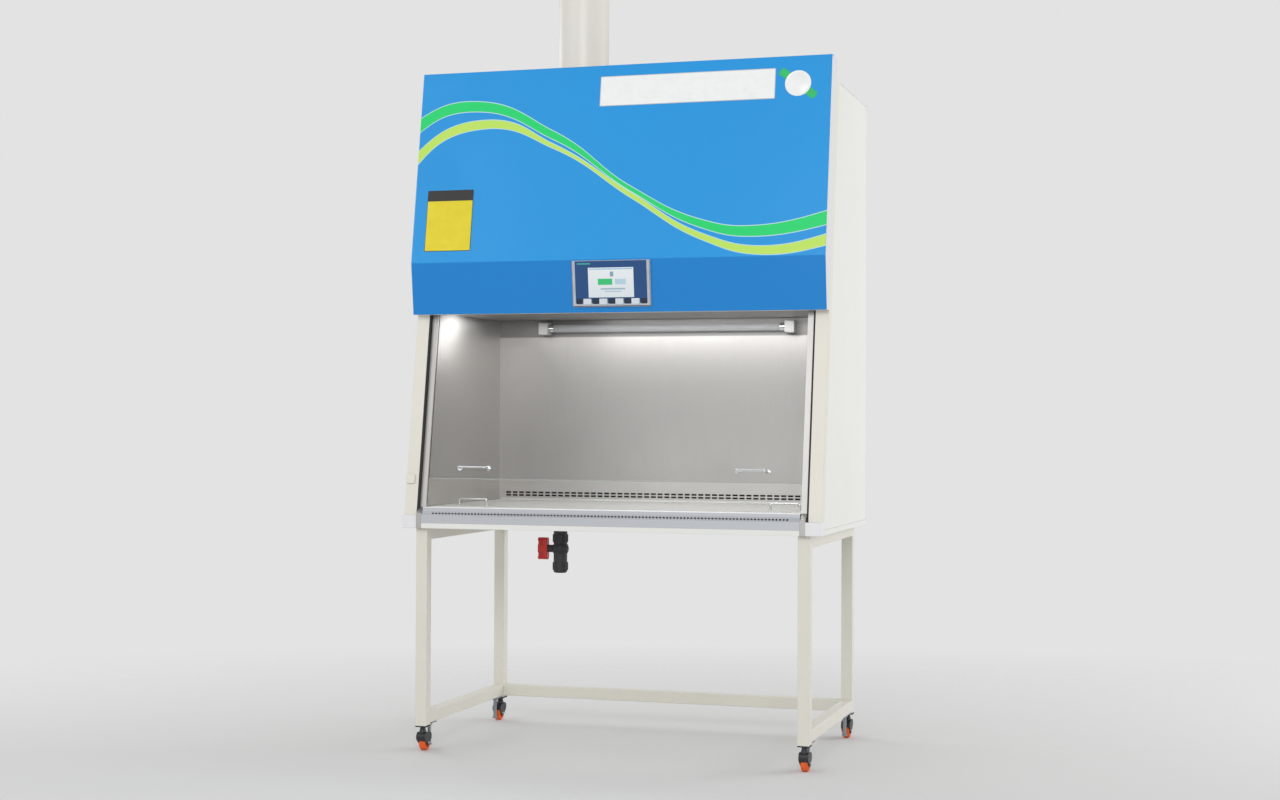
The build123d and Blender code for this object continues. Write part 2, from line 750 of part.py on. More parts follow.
handle_span = 96.0
tray_handle_inset = 90.0      # handle's centre from the side liner
tray_handle_x = half_work - tray_handle_inset
tray_handle_y = -175.0
with BuildPart() as tray_handles:
    for side in (-1, 1):
        lift_plane = Plane(
            origin=(side * tray_handle_x, tray_handle_y, work_surface), x_dir=(1, 0, 0), z_dir=(0, -1, 0)
        )
        add(
            bent_handle(
                lift_plane, handle_span, rise=18.0, rod=6.0, bend=7.0, foot_radius=6.0, foot_height=2.0
            )
        )
finish(tray_handles.part, "tray_handles")

# ---------------------------------------------------------------- lamp
lamp_drop = 30.0              # tube's axis below the ceiling
lamp_setback = 28.0           # and ahead of the back liner
lamp_inset = 191.0            # tube's end from the side liner
lamp_radius = 13.0
lamp_height = ceiling_height - lamp_drop
lamp_half = half_work - lamp_inset
lamp_y = back_liner_y - lamp_setback
holder_width = 32.0
holder_depth = 46.0
holder_height = 42.0

with BuildPart() as lamp_holders:
    for side in (-1, 1):
        with BuildSketch(Plane.YZ.offset(side * (lamp_half + holder_width / 2) - holder_width / 2)):
            with Locations((back_liner_y - holder_depth / 2, lamp_height)):
                RectangleRounded(holder_depth, holder_height, 5.0)
        extrude(amount=holder_width)
finish(lamp_holders.part, "lamp_holders")

with BuildPart() as lamp_tube:
    with BuildSketch(Plane.YZ.offset(-lamp_half)):
        with Locations((lamp_y, lamp_height)):
            Circle(lamp_radius)
    extrude(amount=2 * lamp_half)
finish(lamp_tube.part, "lamp_tube")

# ---------------------------------------------------------------- hood
hood_flange = 14.0
hood_plate = panel_sheet
hood_top_front = hood_y(hood_top)
panel_return = 32.0
crease_radius = 8.0


def hood_edge(inset):
    """Hood face line from its bottom edge to its top, moved back by inset."""
    return [(hood_y(z) + inset, z) for z in (hood_bottom, hood_crease, hood_top)]


with BuildPart() as hood_side_right:
    side_outline = [
        *hood_edge(panel_sheet),
        (front_y(hood_top), hood_top),
        (front_y(hood_bottom), hood_bottom),
    ]
    extrude(side_section(side_outline, half_width - hood_plate), amount=hood_plate)
    flange_outline = [*hood_edge(panel_sheet), *reversed(hood_edge(panel_sheet + hood_plate))]
    extrude(side_section(flange_outline, half_width - hood_flange), amount=hood_flange)
    crease_edges = hood_side_right.edges().filter_by(Axis.X)
    crease_edges = crease_edges.filter_by_position(Axis.Z, hood_crease - 1, hood_crease + 1)
    fillet(crease_edges.sort_by(Axis.Y)[:1], radius=crease_radius - panel_sheet)
with BuildPart() as hood_sides:
    add(hood_side_right.part)
    mirror(hood_side_right.part, about=Plane.YZ)
finish(hood_sides.part, "hood_sides")

with BuildPart() as hood_top_plate:
    top_outline = [
        (hood_top_front + panel_sheet, hood_top),
        (front_y(hood_top), hood_top),
        (front_y(panel_top), panel_top),
        (front_y(panel_top, -hood_plate), panel_top),
        (front_y(hood_top - hood_plate, -hood_plate), hood_top - hood_plate),
        (hood_top_front + panel_sheet, hood_top - hood_plate),
    ]
    extrude(side_section(top_outline, -half_width + hood_flange), amount=2 * (half_width - hood_flange))
finish(hood_top_plate.part, "hood_top_plate")

with BuildPart() as hood_bottom_plate:
    lip_top = hood_bottom + hood_flange
    bottom_outline = [
        (hood_y(hood_bottom) + panel_sheet + hood_plate, hood_bottom),
        (front_y(hood_bottom), hood_bottom),
        (front_y(lip_top), lip_top),
        (front_y(lip_top, -hood_plate), lip_top),
        (front_y(hood_bottom + hood_plate, -hood_plate), hood_bottom + hood_plate),
        (hood_y(hood_bottom) + panel_sheet + hood_plate, hood_bottom + hood_plate),
    ]
    extrude(side_section(bottom_outline, -half_width + hood_plate), amount=2 * (half_width - hood_plate))
finish(hood_bottom_plate.part, "hood_bottom_plate")

band_lean = atan2(hood_y(hood_bottom) - hood_y(hood_crease), hood_crease - hood_bottom)
band_normal = (0, -cos(band_lean), -sin(band_lean))
hmi_rise = hmi_margin + hmi_height / 2
hmi_plane = Plane(
    origin=(
        hmi_offset_x,
        hood_y(hood_bottom) - hmi_rise * sin(band_lean),
        hood_bottom + hmi_rise * cos(band_lean),
    ),
    x_dir=(1, 0, 0),
    z_dir=band_normal,
)
hmi_cutout = 8.0

with BuildPart() as front_panel:
    panel_outline = [
        *hood_edge(0.0)[:2],
        (hood_top_front, hood_top + panel_sheet),
        (hood_top_front + panel_return, hood_top + panel_sheet),
        (hood_top_front + panel_return, hood_top),
        (hood_top_front + panel_sheet, hood_top),
        *reversed(hood_edge(panel_sheet)[:2]),
    ]
    extrude(side_section(panel_outline, -half_width), amount=overall_width)
    long_edges = front_panel.edges().filter_by(Axis.X)
    crease_edges = long_edges.filter_by_position(Axis.Z, hood_crease - 1, hood_crease + 1)
    fillet(crease_edges.sort_by(Axis.Y)[:1], radius=crease_radius)
    fillet(crease_edges.sort_by(Axis.Y)[-1:], radius=crease_radius - panel_sheet)
    with BuildSketch(hmi_plane):
        Rectangle(hmi_width - 2 * hmi_cutout, hmi_height - 2 * hmi_cutout)
    extrude(amount=2 * panel_sheet, both=True, mode=Mode.SUBTRACT)
finish(front_panel.part, "front_panel")

knuckle_radius = 4.5
hinge_pin_radius = 2.0
hinge_length = 60.0
knuckle_length = 20.0
hinge_axis_y = hood_top_front + panel_return + knuckle_radius + 0.5
hinge_axis_z = hood_top + knuckle_radius
hinge_inset = 175.0           # outer hinges from the cabinet's sides
hinge_places = (hinge_inset - half_width, 0.0, half_width - hinge_inset)
leaf_reach = 24.0

with BuildPart() as panel_hinges:
    for x in hinge_places:
        for start in (x - hinge_length / 2, x + knuckle_length / 2 + face_gap):
            with BuildSketch(Plane.YZ.offset(start)):
                with Locations((hinge_axis_y, hinge_axis_z)):
                    Circle(knuckle_radius)
                with Locations((hinge_axis_y + leaf_reach / 2, hood_top + panel_sheet / 2)):
                    Rectangle(leaf_reach, panel_sheet)
            extrude(amount=(hinge_length - knuckle_length) / 2 - face_gap)
        with BuildSketch(Plane.XY.offset(hood_top)):
            with Locations((x, hinge_axis_y + leaf_reach / 2 + knuckle_radius)):
                Rectangle(hinge_length, leaf_reach - knuckle_radius)
        extrude(amount=panel_sheet)
        with BuildSketch(Plane.YZ.offset(x - hinge_length / 2)):
            with Locations((hinge_axis_y, hinge_axis_z)):
                Circle(hinge_pin_radius)
        extrude(amount=hinge_length)
finish(panel_hinges.part, "panel_hinges")

with BuildPart() as hinge_leaves:
    for x in hinge_places:
        with BuildSketch(Plane.YZ.offset(x - knuckle_length / 2)):
            with Locations((hinge_axis_y, hinge_axis_z)):
                Circle(knuckle_radius)
            with Locations((hinge_axis_y - leaf_reach / 2, hood_top + 1.5 * panel_sheet)):
                Rectangle(leaf_reach, panel_sheet)
            with Locations((hinge_axis_y, hinge_axis_z)):
                Circle(hinge_pin_radius + running_clearance, mode=Mode.SUBTRACT)
        extrude(amount=knuckle_length)
        with BuildSketch(Plane.XY.offset(hood_top + panel_sheet)):
            with Locations((x, hinge_axis_y - leaf_reach / 2 - knuckle_radius)):
                Rectangle(hinge_length, leaf_reach - knuckle_radius)
        extrude(amount=panel_sheet)
finish(hinge_leaves.part, "hinge_leaves")

# ---------------------------------------------------------------- touch panel
screen_width = 148.0
screen_height = 93.0
screen_rise = 3.5
screen_thickness = 3.0
key_width = 26.0
key_height = 18.0
key_pitch = 52.4
key_drop = 55.5
key_body = 3.0
key_travel = 1.2
key_proud = 1.5
key_pocket = key_body + key_travel

with BuildPart() as hmi_housing:
    with BuildSketch(hmi_plane):
        RectangleRounded(hmi_width, hmi_height, 4.0)
    extrude(amount=hmi_thickness)
    with BuildSketch(hmi_plane):
        Rectangle(hmi_width - 2 * hmi_cutout - 1, hmi_height - 2 * hmi_cutout - 1)
    extrude(amount=-hmi_body_depth)
    with BuildSketch(hmi_plane.offset(hmi_thickness)):
        with Locations((0, screen_rise)):
            Rectangle(screen_width, screen_height)
    extrude(amount=-screen_thickness, mode=Mode.SUBTRACT)
    with BuildSketch(hmi_plane.offset(hmi_thickness)):
        with Locations((0, -key_drop)):
            with GridLocations(key_pitch, 1.0, 4, 1):
                Rectangle(key_width + 2 * face_gap, key_height + 2 * face_gap)
    extrude(amount=-key_pocket, mode=Mode.SUBTRACT)
    chamfer(hmi_housing.faces().sort_by(Axis.Y)[0].outer_wire().edges(), 1.5)
finish(hmi_housing.part, "hmi_housing")

with BuildPart() as hmi_screen:
    with BuildSketch(hmi_plane.offset(hmi_thickness - screen_thickness)):
        with Locations((0, screen_rise)):
            Rectangle(screen_width, screen_height)
    extrude(amount=screen_thickness)
finish(hmi_screen.part, "hmi_screen")

for index in range(4):
    with BuildPart() as hmi_key:
        with BuildSketch(hmi_plane.offset(hmi_thickness - key_body)):
            with Locations(((index - 1.5) * key_pitch, -key_drop)):
                RectangleRounded(key_width, key_height, 2.0)
        extrude(amount=key_body + key_proud)
    finish(hmi_key.part, f"hmi_key_{index + 1}")

# ---------------------------------------------------------------- sash
glass_half = guide_inner_x + guide_engagement
glass_top = sash_rest_height + sash_height * cos(lean)
glass_back = sash_depth + sash_thickness
finish(
    leaning_strip(-glass_half, glass_half, sash_rest_height, glass_top, sash_depth, glass_back),
    "sash_glass",
)

rail_height = 22.0
rail_cheek = 3.0
sash_rail_half = guide_inner_x - 6.0
with BuildPart() as sash_top_rail:
    add(
        leaning_strip(
            -sash_rail_half, sash_rail_half, glass_top - rail_height, glass_top + rail_cheek,
            sash_depth - rail_cheek, glass_back + rail_cheek,
        )
    )
    add(
        leaning_strip(
            -sash_rail_half, sash_rail_half, glass_top - rail_height, glass_top, sash_depth, glass_back
        ),
        mode=Mode.SUBTRACT,
    )
finish(sash_top_rail.part, "sash_top_rail")

sash_handle_inset = 157.0     # handle's centre from the side liner
sash_handle_x = half_work - sash_handle_inset
sash_handle_rise = 35.0
sash_handle_height = sash_rest_height + sash_handle_rise
with BuildPart() as sash_handles:
    for side in (-1, 1):
        grip_plane = Plane(
            origin=(side * sash_handle_x, front_y(sash_handle_height, sash_depth), sash_handle_height),
            x_dir=(1, 0, 0),
            z_dir=(0, -sin(lean), -cos(lean)),
        )
        add(
            bent_handle(
                grip_plane, handle_span, rise=30.0, rod=7.0, bend=8.0, foot_radius=8.0, foot_height=4.0
            )
        )
finish(sash_handles.part, "sash_handles")

# ---------------------------------------------------------------- filters and blower
filter_height = 90.0
filter_border = 22.0
filter_recess = 8.0
filter_gap = 4.0              # filter frame to the plenum's front
filter_end_gap = 10.0
supply_bottom = plenum_floor
supply_top = supply_bottom + filter_height
supply_front = front_y(supply_top, post_depth + panel_sheet) + filter_gap
supply_back = back_liner_y - filter_end_gap
supply_half = half_work - 2 * filter_end_gap
exhaust_bottom = panel_top - filter_height
exhaust_half_y = duct_y - front_y(panel_top, post_depth + panel_sheet) - filter_gap
exhaust_half_x = duct_radius * 2.0

with BuildPart() as hepa_filters:
    supply_y = (supply_front + supply_back) / 2
    beds = (
        (0.0, supply_y, supply_half, supply_back - supply_y, supply_bottom),
        (duct_x, duct_y, exhaust_half_x, exhaust_half_y, exhaust_bottom),
    )
    for x, y, half_x, half_y, bottom in beds:
        with BuildSketch(Plane.XY.offset(bottom)):
            with Locations((x, y)):
                Rectangle(2 * half_x, 2 * half_y)
        extrude(amount=filter_height)
        for level in (bottom, bottom + filter_height - filter_recess):
            with BuildSketch(Plane.XY.offset(level)):
                with Locations((x, y)):
                    Rectangle(2 * (half_x - filter_border), 2 * (half_y - filter_border))
            extrude(amount=filter_recess, mode=Mode.SUBTRACT)
finish(hepa_filters.part, "hepa_filters")

blower_x = 210.0
blower_y = 95.0
blower_z = (supply_top + exhaust_bottom) / 2
blower_clearance = 73.0       # scroll to each filter
scroll_radius = blower_z - supply_top - blower_clearance
scroll_width = 170.0
scroll_running_gap = 50.0     # impeller's rim to the scroll
impeller_radius = scroll_radius - scroll_running_gap
impeller_width = 120.0
inlet_lap = 35.0              # inlet's edge inside the impeller's rim
inlet_radius = impeller_radius - inlet_lap
blade_count = 24
blade_sheet = 2.0
blade_ring = 28.0             # width of the ring that the blades stand in
blade_sweep = 14.0            # degrees from a blade's root to its tip
blade_radius = 36.0
hub_radius = 40.0
shaft_radius = 8.0
motor_radius = 55.0
motor_length = 40.0
scroll_front = blower_y - scroll_width / 2
scroll_back = blower_y + scroll_width / 2
outlet_drop = blower_z - supply_top + filter_recess

with BuildPart() as blower_housing:
    with BuildSketch(Plane.XZ.offset(-scroll_back)) as scroll_outline:
        with Locations((blower_x, blower_z)):
            Circle(scroll_radius)
        with Locations((blower_x + scroll_radius / 2, blower_z - outlet_drop / 2)):
            Rectangle(scroll_radius, outlet_drop)
    extrude(amount=scroll_width)
    with BuildSketch(Plane.XZ.offset(-scroll_back + panel_sheet)):
        with Locations((blower_x, blower_z)):
            Circle(scroll_radius - panel_sheet)
        with Locations((blower_x + scroll_radius / 2, blower_z - outlet_drop / 2)):
            Rectangle(scroll_radius - 2 * panel_sheet, outlet_drop)
    extrude(amount=scroll_width - 2 * panel_sheet, mode=Mode.SUBTRACT)
    with BuildSketch(Plane.XZ.offset(-scroll_front)):
        with Locations((blower_x, blower_z)):
            Circle(inlet_radius)
    extrude(amount=-2 * panel_sheet, mode=Mode.SUBTRACT)
    with BuildSketch(Plane.XZ.offset(-scroll_back)):
        with Locations((blower_x, blower_z)):
            Circle(motor_radius)
    extrude(amount=-motor_length)
    with BuildSketch(Plane.XZ.offset(-scroll_back)):
        with Locations((blower_x, blower_z)):
            Circle(shaft_radius)
    extrude(amount=scroll_width * 0.75)
finish(blower_housing.part, "blower_housing")

impeller_back = scroll_back - 20.0
impeller_plane = Plane(origin=(blower_x, impeller_back, blower_z), x_dir=(1, 0, 0), z_dir=(0, -1, 0))
blade_root = impeller_radius - blade_ring + blade_sheet
blade_tip = impeller_radius - blade_sheet
with BuildSketch() as blade:
    with BuildLine():
        RadiusArc(
            (blade_root, 0),
            (blade_tip * cos(radians(blade_sweep)), blade_tip * sin(radians(blade_sweep))),
            blade_radius,
        )
    trace(line_width=blade_sheet)

with BuildPart() as blower_impeller:
    with BuildSketch(impeller_plane):
        Circle(impeller_radius)
        Circle(shaft_radius + running_clearance, mode=Mode.SUBTRACT)
    extrude(amount=2.0)
    with BuildSketch(impeller_plane):
        Circle(hub_radius)
        Circle(shaft_radius + running_clearance, mode=Mode.SUBTRACT)
    extrude(amount=impeller_width * 0.6)
    with BuildSketch(impeller_plane):
        with PolarLocations(0, blade_count):
            add(blade.sketch)
    extrude(amount=impeller_width)
    with BuildSketch(impeller_plane.offset(impeller_width - 3.0)):
        Circle(impeller_radius)
        Circle(impeller_radius - blade_ring, mode=Mode.SUBTRACT)
    extrude(amount=3.0)
finish(blower_impeller.part, "blower_impeller")
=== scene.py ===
import json
import logging
import math
from dataclasses import dataclass
from enum import Enum
from typing import Sequence

import bmesh
import bpy
from mathutils import Matrix, Vector

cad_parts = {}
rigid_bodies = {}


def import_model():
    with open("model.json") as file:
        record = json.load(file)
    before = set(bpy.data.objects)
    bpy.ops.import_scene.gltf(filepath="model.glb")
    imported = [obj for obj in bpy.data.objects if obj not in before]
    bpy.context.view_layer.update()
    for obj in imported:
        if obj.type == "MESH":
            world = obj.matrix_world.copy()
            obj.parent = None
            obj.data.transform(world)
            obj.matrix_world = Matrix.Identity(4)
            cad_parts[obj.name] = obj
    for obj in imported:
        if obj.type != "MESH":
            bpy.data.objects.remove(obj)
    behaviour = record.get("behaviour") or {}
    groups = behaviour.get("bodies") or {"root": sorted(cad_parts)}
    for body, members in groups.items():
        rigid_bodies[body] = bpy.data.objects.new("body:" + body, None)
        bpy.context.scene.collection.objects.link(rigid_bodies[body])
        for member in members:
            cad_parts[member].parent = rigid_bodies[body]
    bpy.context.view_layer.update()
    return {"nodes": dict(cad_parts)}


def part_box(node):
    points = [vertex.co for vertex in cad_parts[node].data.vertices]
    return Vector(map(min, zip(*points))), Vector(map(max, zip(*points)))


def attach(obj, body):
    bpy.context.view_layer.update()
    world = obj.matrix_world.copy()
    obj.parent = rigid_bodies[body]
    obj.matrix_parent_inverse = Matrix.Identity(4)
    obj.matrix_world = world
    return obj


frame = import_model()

log = logging.getLogger("cabinet")

LEAN = math.radians(9.0)          # the sash and the canopy's tall face lean back
CORNERS = ("front_left", "front_right", "rear_left", "rear_right")
SMOOTH_ANGLE = math.radians(35.0)
FLAT = (0.0, 0.0, 0.0)
FRONT_NORMAL = (-0.85, -0.8)      # the normal's Y where a face starts to look to the front
Socket, Node, Tree = bpy.types.NodeSocket, bpy.types.Node, bpy.types.NodeTree
Piece, Shape = bpy.types.Object, bmesh.types.BMesh


class Axis(Enum):
    """A direction that a grain, a row or a fastener follows."""

    X = 0
    Y = 1
    Z = 2


class HeadShape(Enum):
    """How many sides a fastener's head has."""

    HEX = 6
    ROUND = 18


# ------------------------------------------------------------------ node trees
class NodeWriter:
    """Writes a node tree with short calls."""

    def __init__(self, tree: Tree) -> None:
        """Start on a tree.

        Args:
            tree: The node tree that gets the nodes.
        """
        self.tree = tree

    def node(self, kind: str, links: dict | None = None, **settings: object) -> Node:
        """Add a node, set its properties and fill its inputs.

        Args:
            kind: The node's type name.
            links: Values or output sockets by input name or number.
            settings: Properties set on the node.

        Returns:
            The new node.
        """
        made = self.tree.nodes.new(kind)
        for name, value in settings.items():
            setattr(made, name, value)
        for name, value in (links or {}).items():
            self.feed(made.inputs[name], value)
        return made

    def feed(self, socket: Socket, value: object) -> None:
        """Link a socket's value, or set it where it is a plain value.

        Args:
            socket: The input to fill.
            value: An output socket, a number or a tuple.
        """
        if isinstance(value, Socket):
            self.tree.links.new(value, socket)
        else:
            socket.default_value = value

    def fill(self, node: Node, **values: object) -> Node:
        """Fill a node's inputs.

        Args:
            node: The node.
            values: Values by input name, with _ for a space.

        Returns:
            The same node.
        """
        for name, value in values.items():
            self.feed(node.inputs[name.replace("_", " ")], value)
        return node

    def math(self, operation: str, first: object, second: object = 0.0) -> Socket:
        """A math node of two values.

        Args:
            operation: The math node's operation.
            first: The first value or socket.
            second: The second value or socket.

        Returns:
            The result's socket.
        """
        return self.node("ShaderNodeMath", {0: first, 1: second}, operation=operation).outputs[0]

    def vector(self, operation: str, first: object, second: object = FLAT) -> Node:
        """A vector math node.

        Args:
            operation: The node's operation.
            first: The first vector.
            second: The second vector.

        Returns:
            The node.
        """
        return self.node("ShaderNodeVectorMath", {0: first, 1: second}, operation=operation)

    def ramp(self, value: object, low: float, high: float, out_low: float = 0.0,
             out_high: float = 1.0) -> Socket:
        """Map a value from one range to another, clamped.

        Args:
            value: The value to map.
            low: Where the result is out_low.
            high: Where the result is out_high.
            out_low: The result at low.
            out_high: The result at high.

        Returns:
            The mapped value's socket.
        """
        made = self.node("ShaderNodeMapRange", clamp=True)
        self.fill(made, Value=value, From_Min=low, From_Max=high, To_Min=out_low, To_Max=out_high)
        return made.outputs["Result"]

    def mix(self, factor: object, first: object, second: object) -> Socket:
        """Mix two colours.

        Args:
            factor: 0 for the first, 1 for the second.
            first: The first colour.
            second: The second colour.

        Returns:
            The mixed colour's socket.
        """
        return self.node("ShaderNodeMix", {0: factor, 6: first, 7: second}, data_type="RGBA").outputs[2]

    def place(self) -> Socket:
        """The piece's Object coordinates."""
        return self.node("ShaderNodeTexCoord").outputs["Object"]

    def front(self) -> Socket:
        """One on the faces that look to the front, zero elsewhere."""
        normal = self.node("ShaderNodeTexCoord").outputs["Normal"]
        return self.ramp(self.split(normal)[1], *FRONT_NORMAL, 1.0, 0.0)

    def split(self, vector: Socket) -> tuple:
        """The three parts of a vector."""
        return tuple(self.node("ShaderNodeSeparateXYZ", {0: vector}).outputs)

    def noise(self, vector: object, scale: object, detail: float, roughness: float) -> Socket:
        """A noise value.

        Args:
            vector: The coordinates.
            scale: Cells in a metre.
            detail: Octaves.
            roughness: How strong the fine octaves are.

        Returns:
            The noise's socket.
        """
        made = self.node("ShaderNodeTexNoise")
        return self.fill(made, Vector=vector, Scale=scale, Detail=detail, Roughness=roughness).outputs[0]

    def group(self, tree: Tree, **values: object) -> Node:
        """Place a node group and fill its inputs.

        Args:
            tree: The group.
            values: Values by input name, with _ for a space.

        Returns:
            The group's node.
        """
        return self.fill(self.node("ShaderNodeGroup", node_tree=tree), **values)

    def clouds(self, scale: float) -> Socket:
        """Handling marks of a size."""
        return self.group(EFFECTS.handling, Scale=scale).outputs[0]

    def rounded(self, radius: float) -> Socket:
        """The normal of a soft edge."""
        return self.group(EFFECTS.soft_edge, Radius=radius).outputs[0]

    def block(self, x: float, z: float, half_width: float, half_height: float) -> Socket:
        """A mask of an upright rectangle seen from the front.

        Args:
            x: Its centre across.
            z: Its centre's height.
            half_width: Half of its width.
            half_height: Half of its height.

        Returns:
            The mask's socket.
        """
        half = (half_width, 1.0, half_height)
        return self.group(EFFECTS.rectangle, Centre=(x, 0.0, z), Half_Size=half).outputs[0]

    def varied(self, mask: object, full: float, middle: float, spread: tuple) -> Socket:
        """A roughness that varies with a mask.

        Args:
            mask: The mask, from 0.
            full: The mask's greatest value.
            middle: The roughness that the spread is about.
            spread: What is added at 0, and at full.

        Returns:
            The roughness's socket.
        """
        return self.ramp(mask, 0.0, full, middle + spread[0], middle + spread[1])

    def over(self, surface: Node, mask: object, color: tuple) -> None:
        """Lay a colour over a surface's base colour.

        Args:
            surface: The Principled BSDF, with a linked base colour.
            mask: One where the colour shows.
            color: The colour.
        """
        base = surface.inputs["Base Color"]
        self.feed(base, self.mix(mask, base.links[0].from_socket, color))

    def bump(self, height: object, strength: float, distance: float,
             normal: object = None) -> Socket:
        """A bump's normal.

        Args:
            height: The height.
            strength: From 0 to 1.
            distance: Depth in metres at full height.
            normal: A normal to bump, where there is one.

        Returns:
            The normal's socket.
        """
        made = self.node("ShaderNodeBump")
        self.fill(made, Strength=strength, Distance=distance, Height=height)
        if normal is not None:
            self.fill(made, Normal=normal)
        return made.outputs["Normal"]


def srgb(code: str) -> tuple:
    """A linear colour with full alpha, from a screen colour code of six hex digits."""
    parts = [int(code[i:i + 2], 16) / 255 for i in (0, 2, 4)]
    return (*(p / 12.92 if p <= 0.04045 else ((p + 0.055) / 1.055) ** 2.4 for p in parts), 1.0)


def new_group(name: str, inputs: dict, outputs: dict) -> tuple:
    """A shader node group with its sockets.

    Args:
        name: The group's name.
        inputs: Default value by input name; a tuple makes a vector socket.
        outputs: The same for the outputs.

    Returns:
        The group, its writer, its input node and its output node.
    """
    tree = bpy.data.node_groups.new(name, "ShaderNodeTree")
    for way, sockets in (("INPUT", inputs), ("OUTPUT", outputs)):
        for label, value in sockets.items():
            kind = "NodeSocketVector" if isinstance(value, tuple) else "NodeSocketFloat"
            tree.interface.new_socket(label, in_out=way, socket_type=kind).default_value = value
    writer = NodeWriter(tree)
    return tree, writer, writer.node("NodeGroupInput"), writer.node("NodeGroupOutput")


class EffectLibrary:
    """The shader node groups that several materials share."""

    def __init__(self) -> None:
        """Build every group once."""
        self.peel = self._peel()
        self.grain = self._grain()
        self.handling = self._handling()
        self.soft_edge = self._soft_edge()
        self.rectangle = self._rectangle()
        self.perforation = self._perforation()

    @staticmethod
    def _peel() -> Tree:
        """The fine orange peel of powder paint, as a height."""
        tree, w, start, end = new_group("orange_peel", {"Scale": 420.0}, {"Height": 0.0})
        w.fill(end, Height=w.noise(w.place(), start.outputs["Scale"], 2.0, 0.45))
        return tree

    @staticmethod
    def _grain() -> Tree:
        """The short scratches of a brushed sheet, as a shade and a height."""
        tree, w, start, end = new_group(
            "brushed_grain", {"Stretch": (4.0, 900.0, 900.0)}, {"Shade": 0.0, "Height": 0.0})
        scaled = w.vector("MULTIPLY", w.place(), start.outputs["Stretch"])
        strokes = w.noise(scaled.outputs[0], 1.0, 3.0, 0.65)
        w.fill(end, Shade=w.ramp(strokes, 0.3, 0.7), Height=strokes)
        return tree

    @staticmethod
    def _handling() -> Tree:
        """Slow cloudy change from wiping and handling, from 0 to 1."""
        tree, w, start, end = new_group("handling_marks", {"Scale": 5.0}, {"Amount": 0.0})
        cloud = w.noise(w.place(), start.outputs["Scale"], 4.0, 0.6)
        w.fill(end, Amount=w.ramp(cloud, 0.32, 0.68))
        return tree

    @staticmethod
    def _soft_edge() -> Tree:
        """A normal that rounds a folded or moulded edge."""
        tree, w, start, end = new_group("soft_edge", {"Radius": 0.0012}, {"Normal": FLAT})
        rounded = w.node("ShaderNodeBevel", {"Radius": start.outputs["Radius"]}, samples=4)
        w.fill(end, Normal=rounded.outputs["Normal"])
        return tree

    @staticmethod
    def _rectangle() -> Tree:
        """A mask that is 1 inside an upright rectangle seen from the front."""
        tree, w, start, end = new_group(
            "rectangle_mask", {"Centre": FLAT, "Half Size": (0.01, 1.0, 0.01)}, {"Mask": 0.0})
        moved = w.vector("SUBTRACT", w.place(), start.outputs["Centre"])
        away = w.vector("ABSOLUTE", moved.outputs[0])
        room = w.vector("SUBTRACT", start.outputs["Half Size"], away.outputs[0])
        across, _, upright = w.split(room.outputs[0])
        w.fill(end, Mask=w.math("GREATER_THAN", w.math("MINIMUM", across, upright), 0.0))
        return tree

    @staticmethod
    def _perforation() -> Tree:
        """Round holes on a square pitch, as a mask that is 1 in a hole."""
        tree, w, start, end = new_group("perforation", {"Pitch": 0.009, "Radius": 0.0022}, {"Mask": 0.0})
        pitch = start.outputs["Pitch"]
        squares = []
        for value in w.split(w.place())[:2]:
            offset = w.math("SUBTRACT", w.math("FRACT", w.math("DIVIDE", value, pitch)), 0.5)
            squares.append(w.math("POWER", w.math("MULTIPLY", offset, pitch), 2.0))
        away = w.math("SQRT", w.math("ADD", *squares))
        w.fill(end, Mask=w.math("LESS_THAN", away, start.outputs["Radius"]))
        return tree


EFFECTS = EffectLibrary()


# ------------------------------------------------------------------ finishes
@dataclass(frozen=True)
class Finish:
    """What every finish has: a name and a way to build its material."""

    name: str

    def build(self) -> bpy.types.Material:
        """The finish's material, made on first use.

        Returns:
            The material.
        """
        title = f"{self.name}_finish"
        found = bpy.data.materials.get(title)
        if found is not None:
            return found
        material = bpy.data.materials.new(title)
        material.use_nodes = True
        writer = NodeWriter(material.node_tree)
        self.write(writer, material.node_tree.nodes["Principled BSDF"])
        return material

    def write(self, w: NodeWriter, surface: Node) -> None:
        """Fill the material; each finish has its own.

        Args:
            w: The material's writer.
            surface: Its Principled BSDF.
        """
        raise NotImplementedError


@dataclass(frozen=True)
class PowderPaint(Finish):
    """Baked powder paint on folded sheet or tube."""

    color: tuple = srgb("E9EAE5")
    soil: tuple = srgb("E1E2DC")
    roughness: float = 0.38
    peel_depth: float = 0.00006
    edge: float = 0.0012
    peel_scale: float = 420.0
    peel_strength: float = 0.35
    cloud_scale: float = 3.0
    cloud_weight: float = 0.5
    coat: float = 0.12
    coat_roughness: float = 0.22
    spread: tuple = (-0.05, 0.06)

    def write(self, w: NodeWriter, surface: Node) -> None:
        """Paint with a fine peel, faint clouding and rounded folds."""
        clouds = w.clouds(self.cloud_scale)
        peel = w.group(EFFECTS.peel, Scale=self.peel_scale).outputs[0]
        w.fill(surface, Coat_Weight=self.coat, Coat_Roughness=self.coat_roughness,
               Base_Color=w.mix(w.math("MULTIPLY", clouds, self.cloud_weight), self.color, self.soil),
               Roughness=w.varied(clouds, 1.0, self.roughness, self.spread),
               Normal=w.bump(peel, self.peel_strength, self.peel_depth, w.rounded(self.edge)))


@dataclass(frozen=True)
class Wave:
    """One painted wave: its upper and lower edge as height in metres by X in metres."""

    color: tuple
    top: tuple
    bottom: tuple


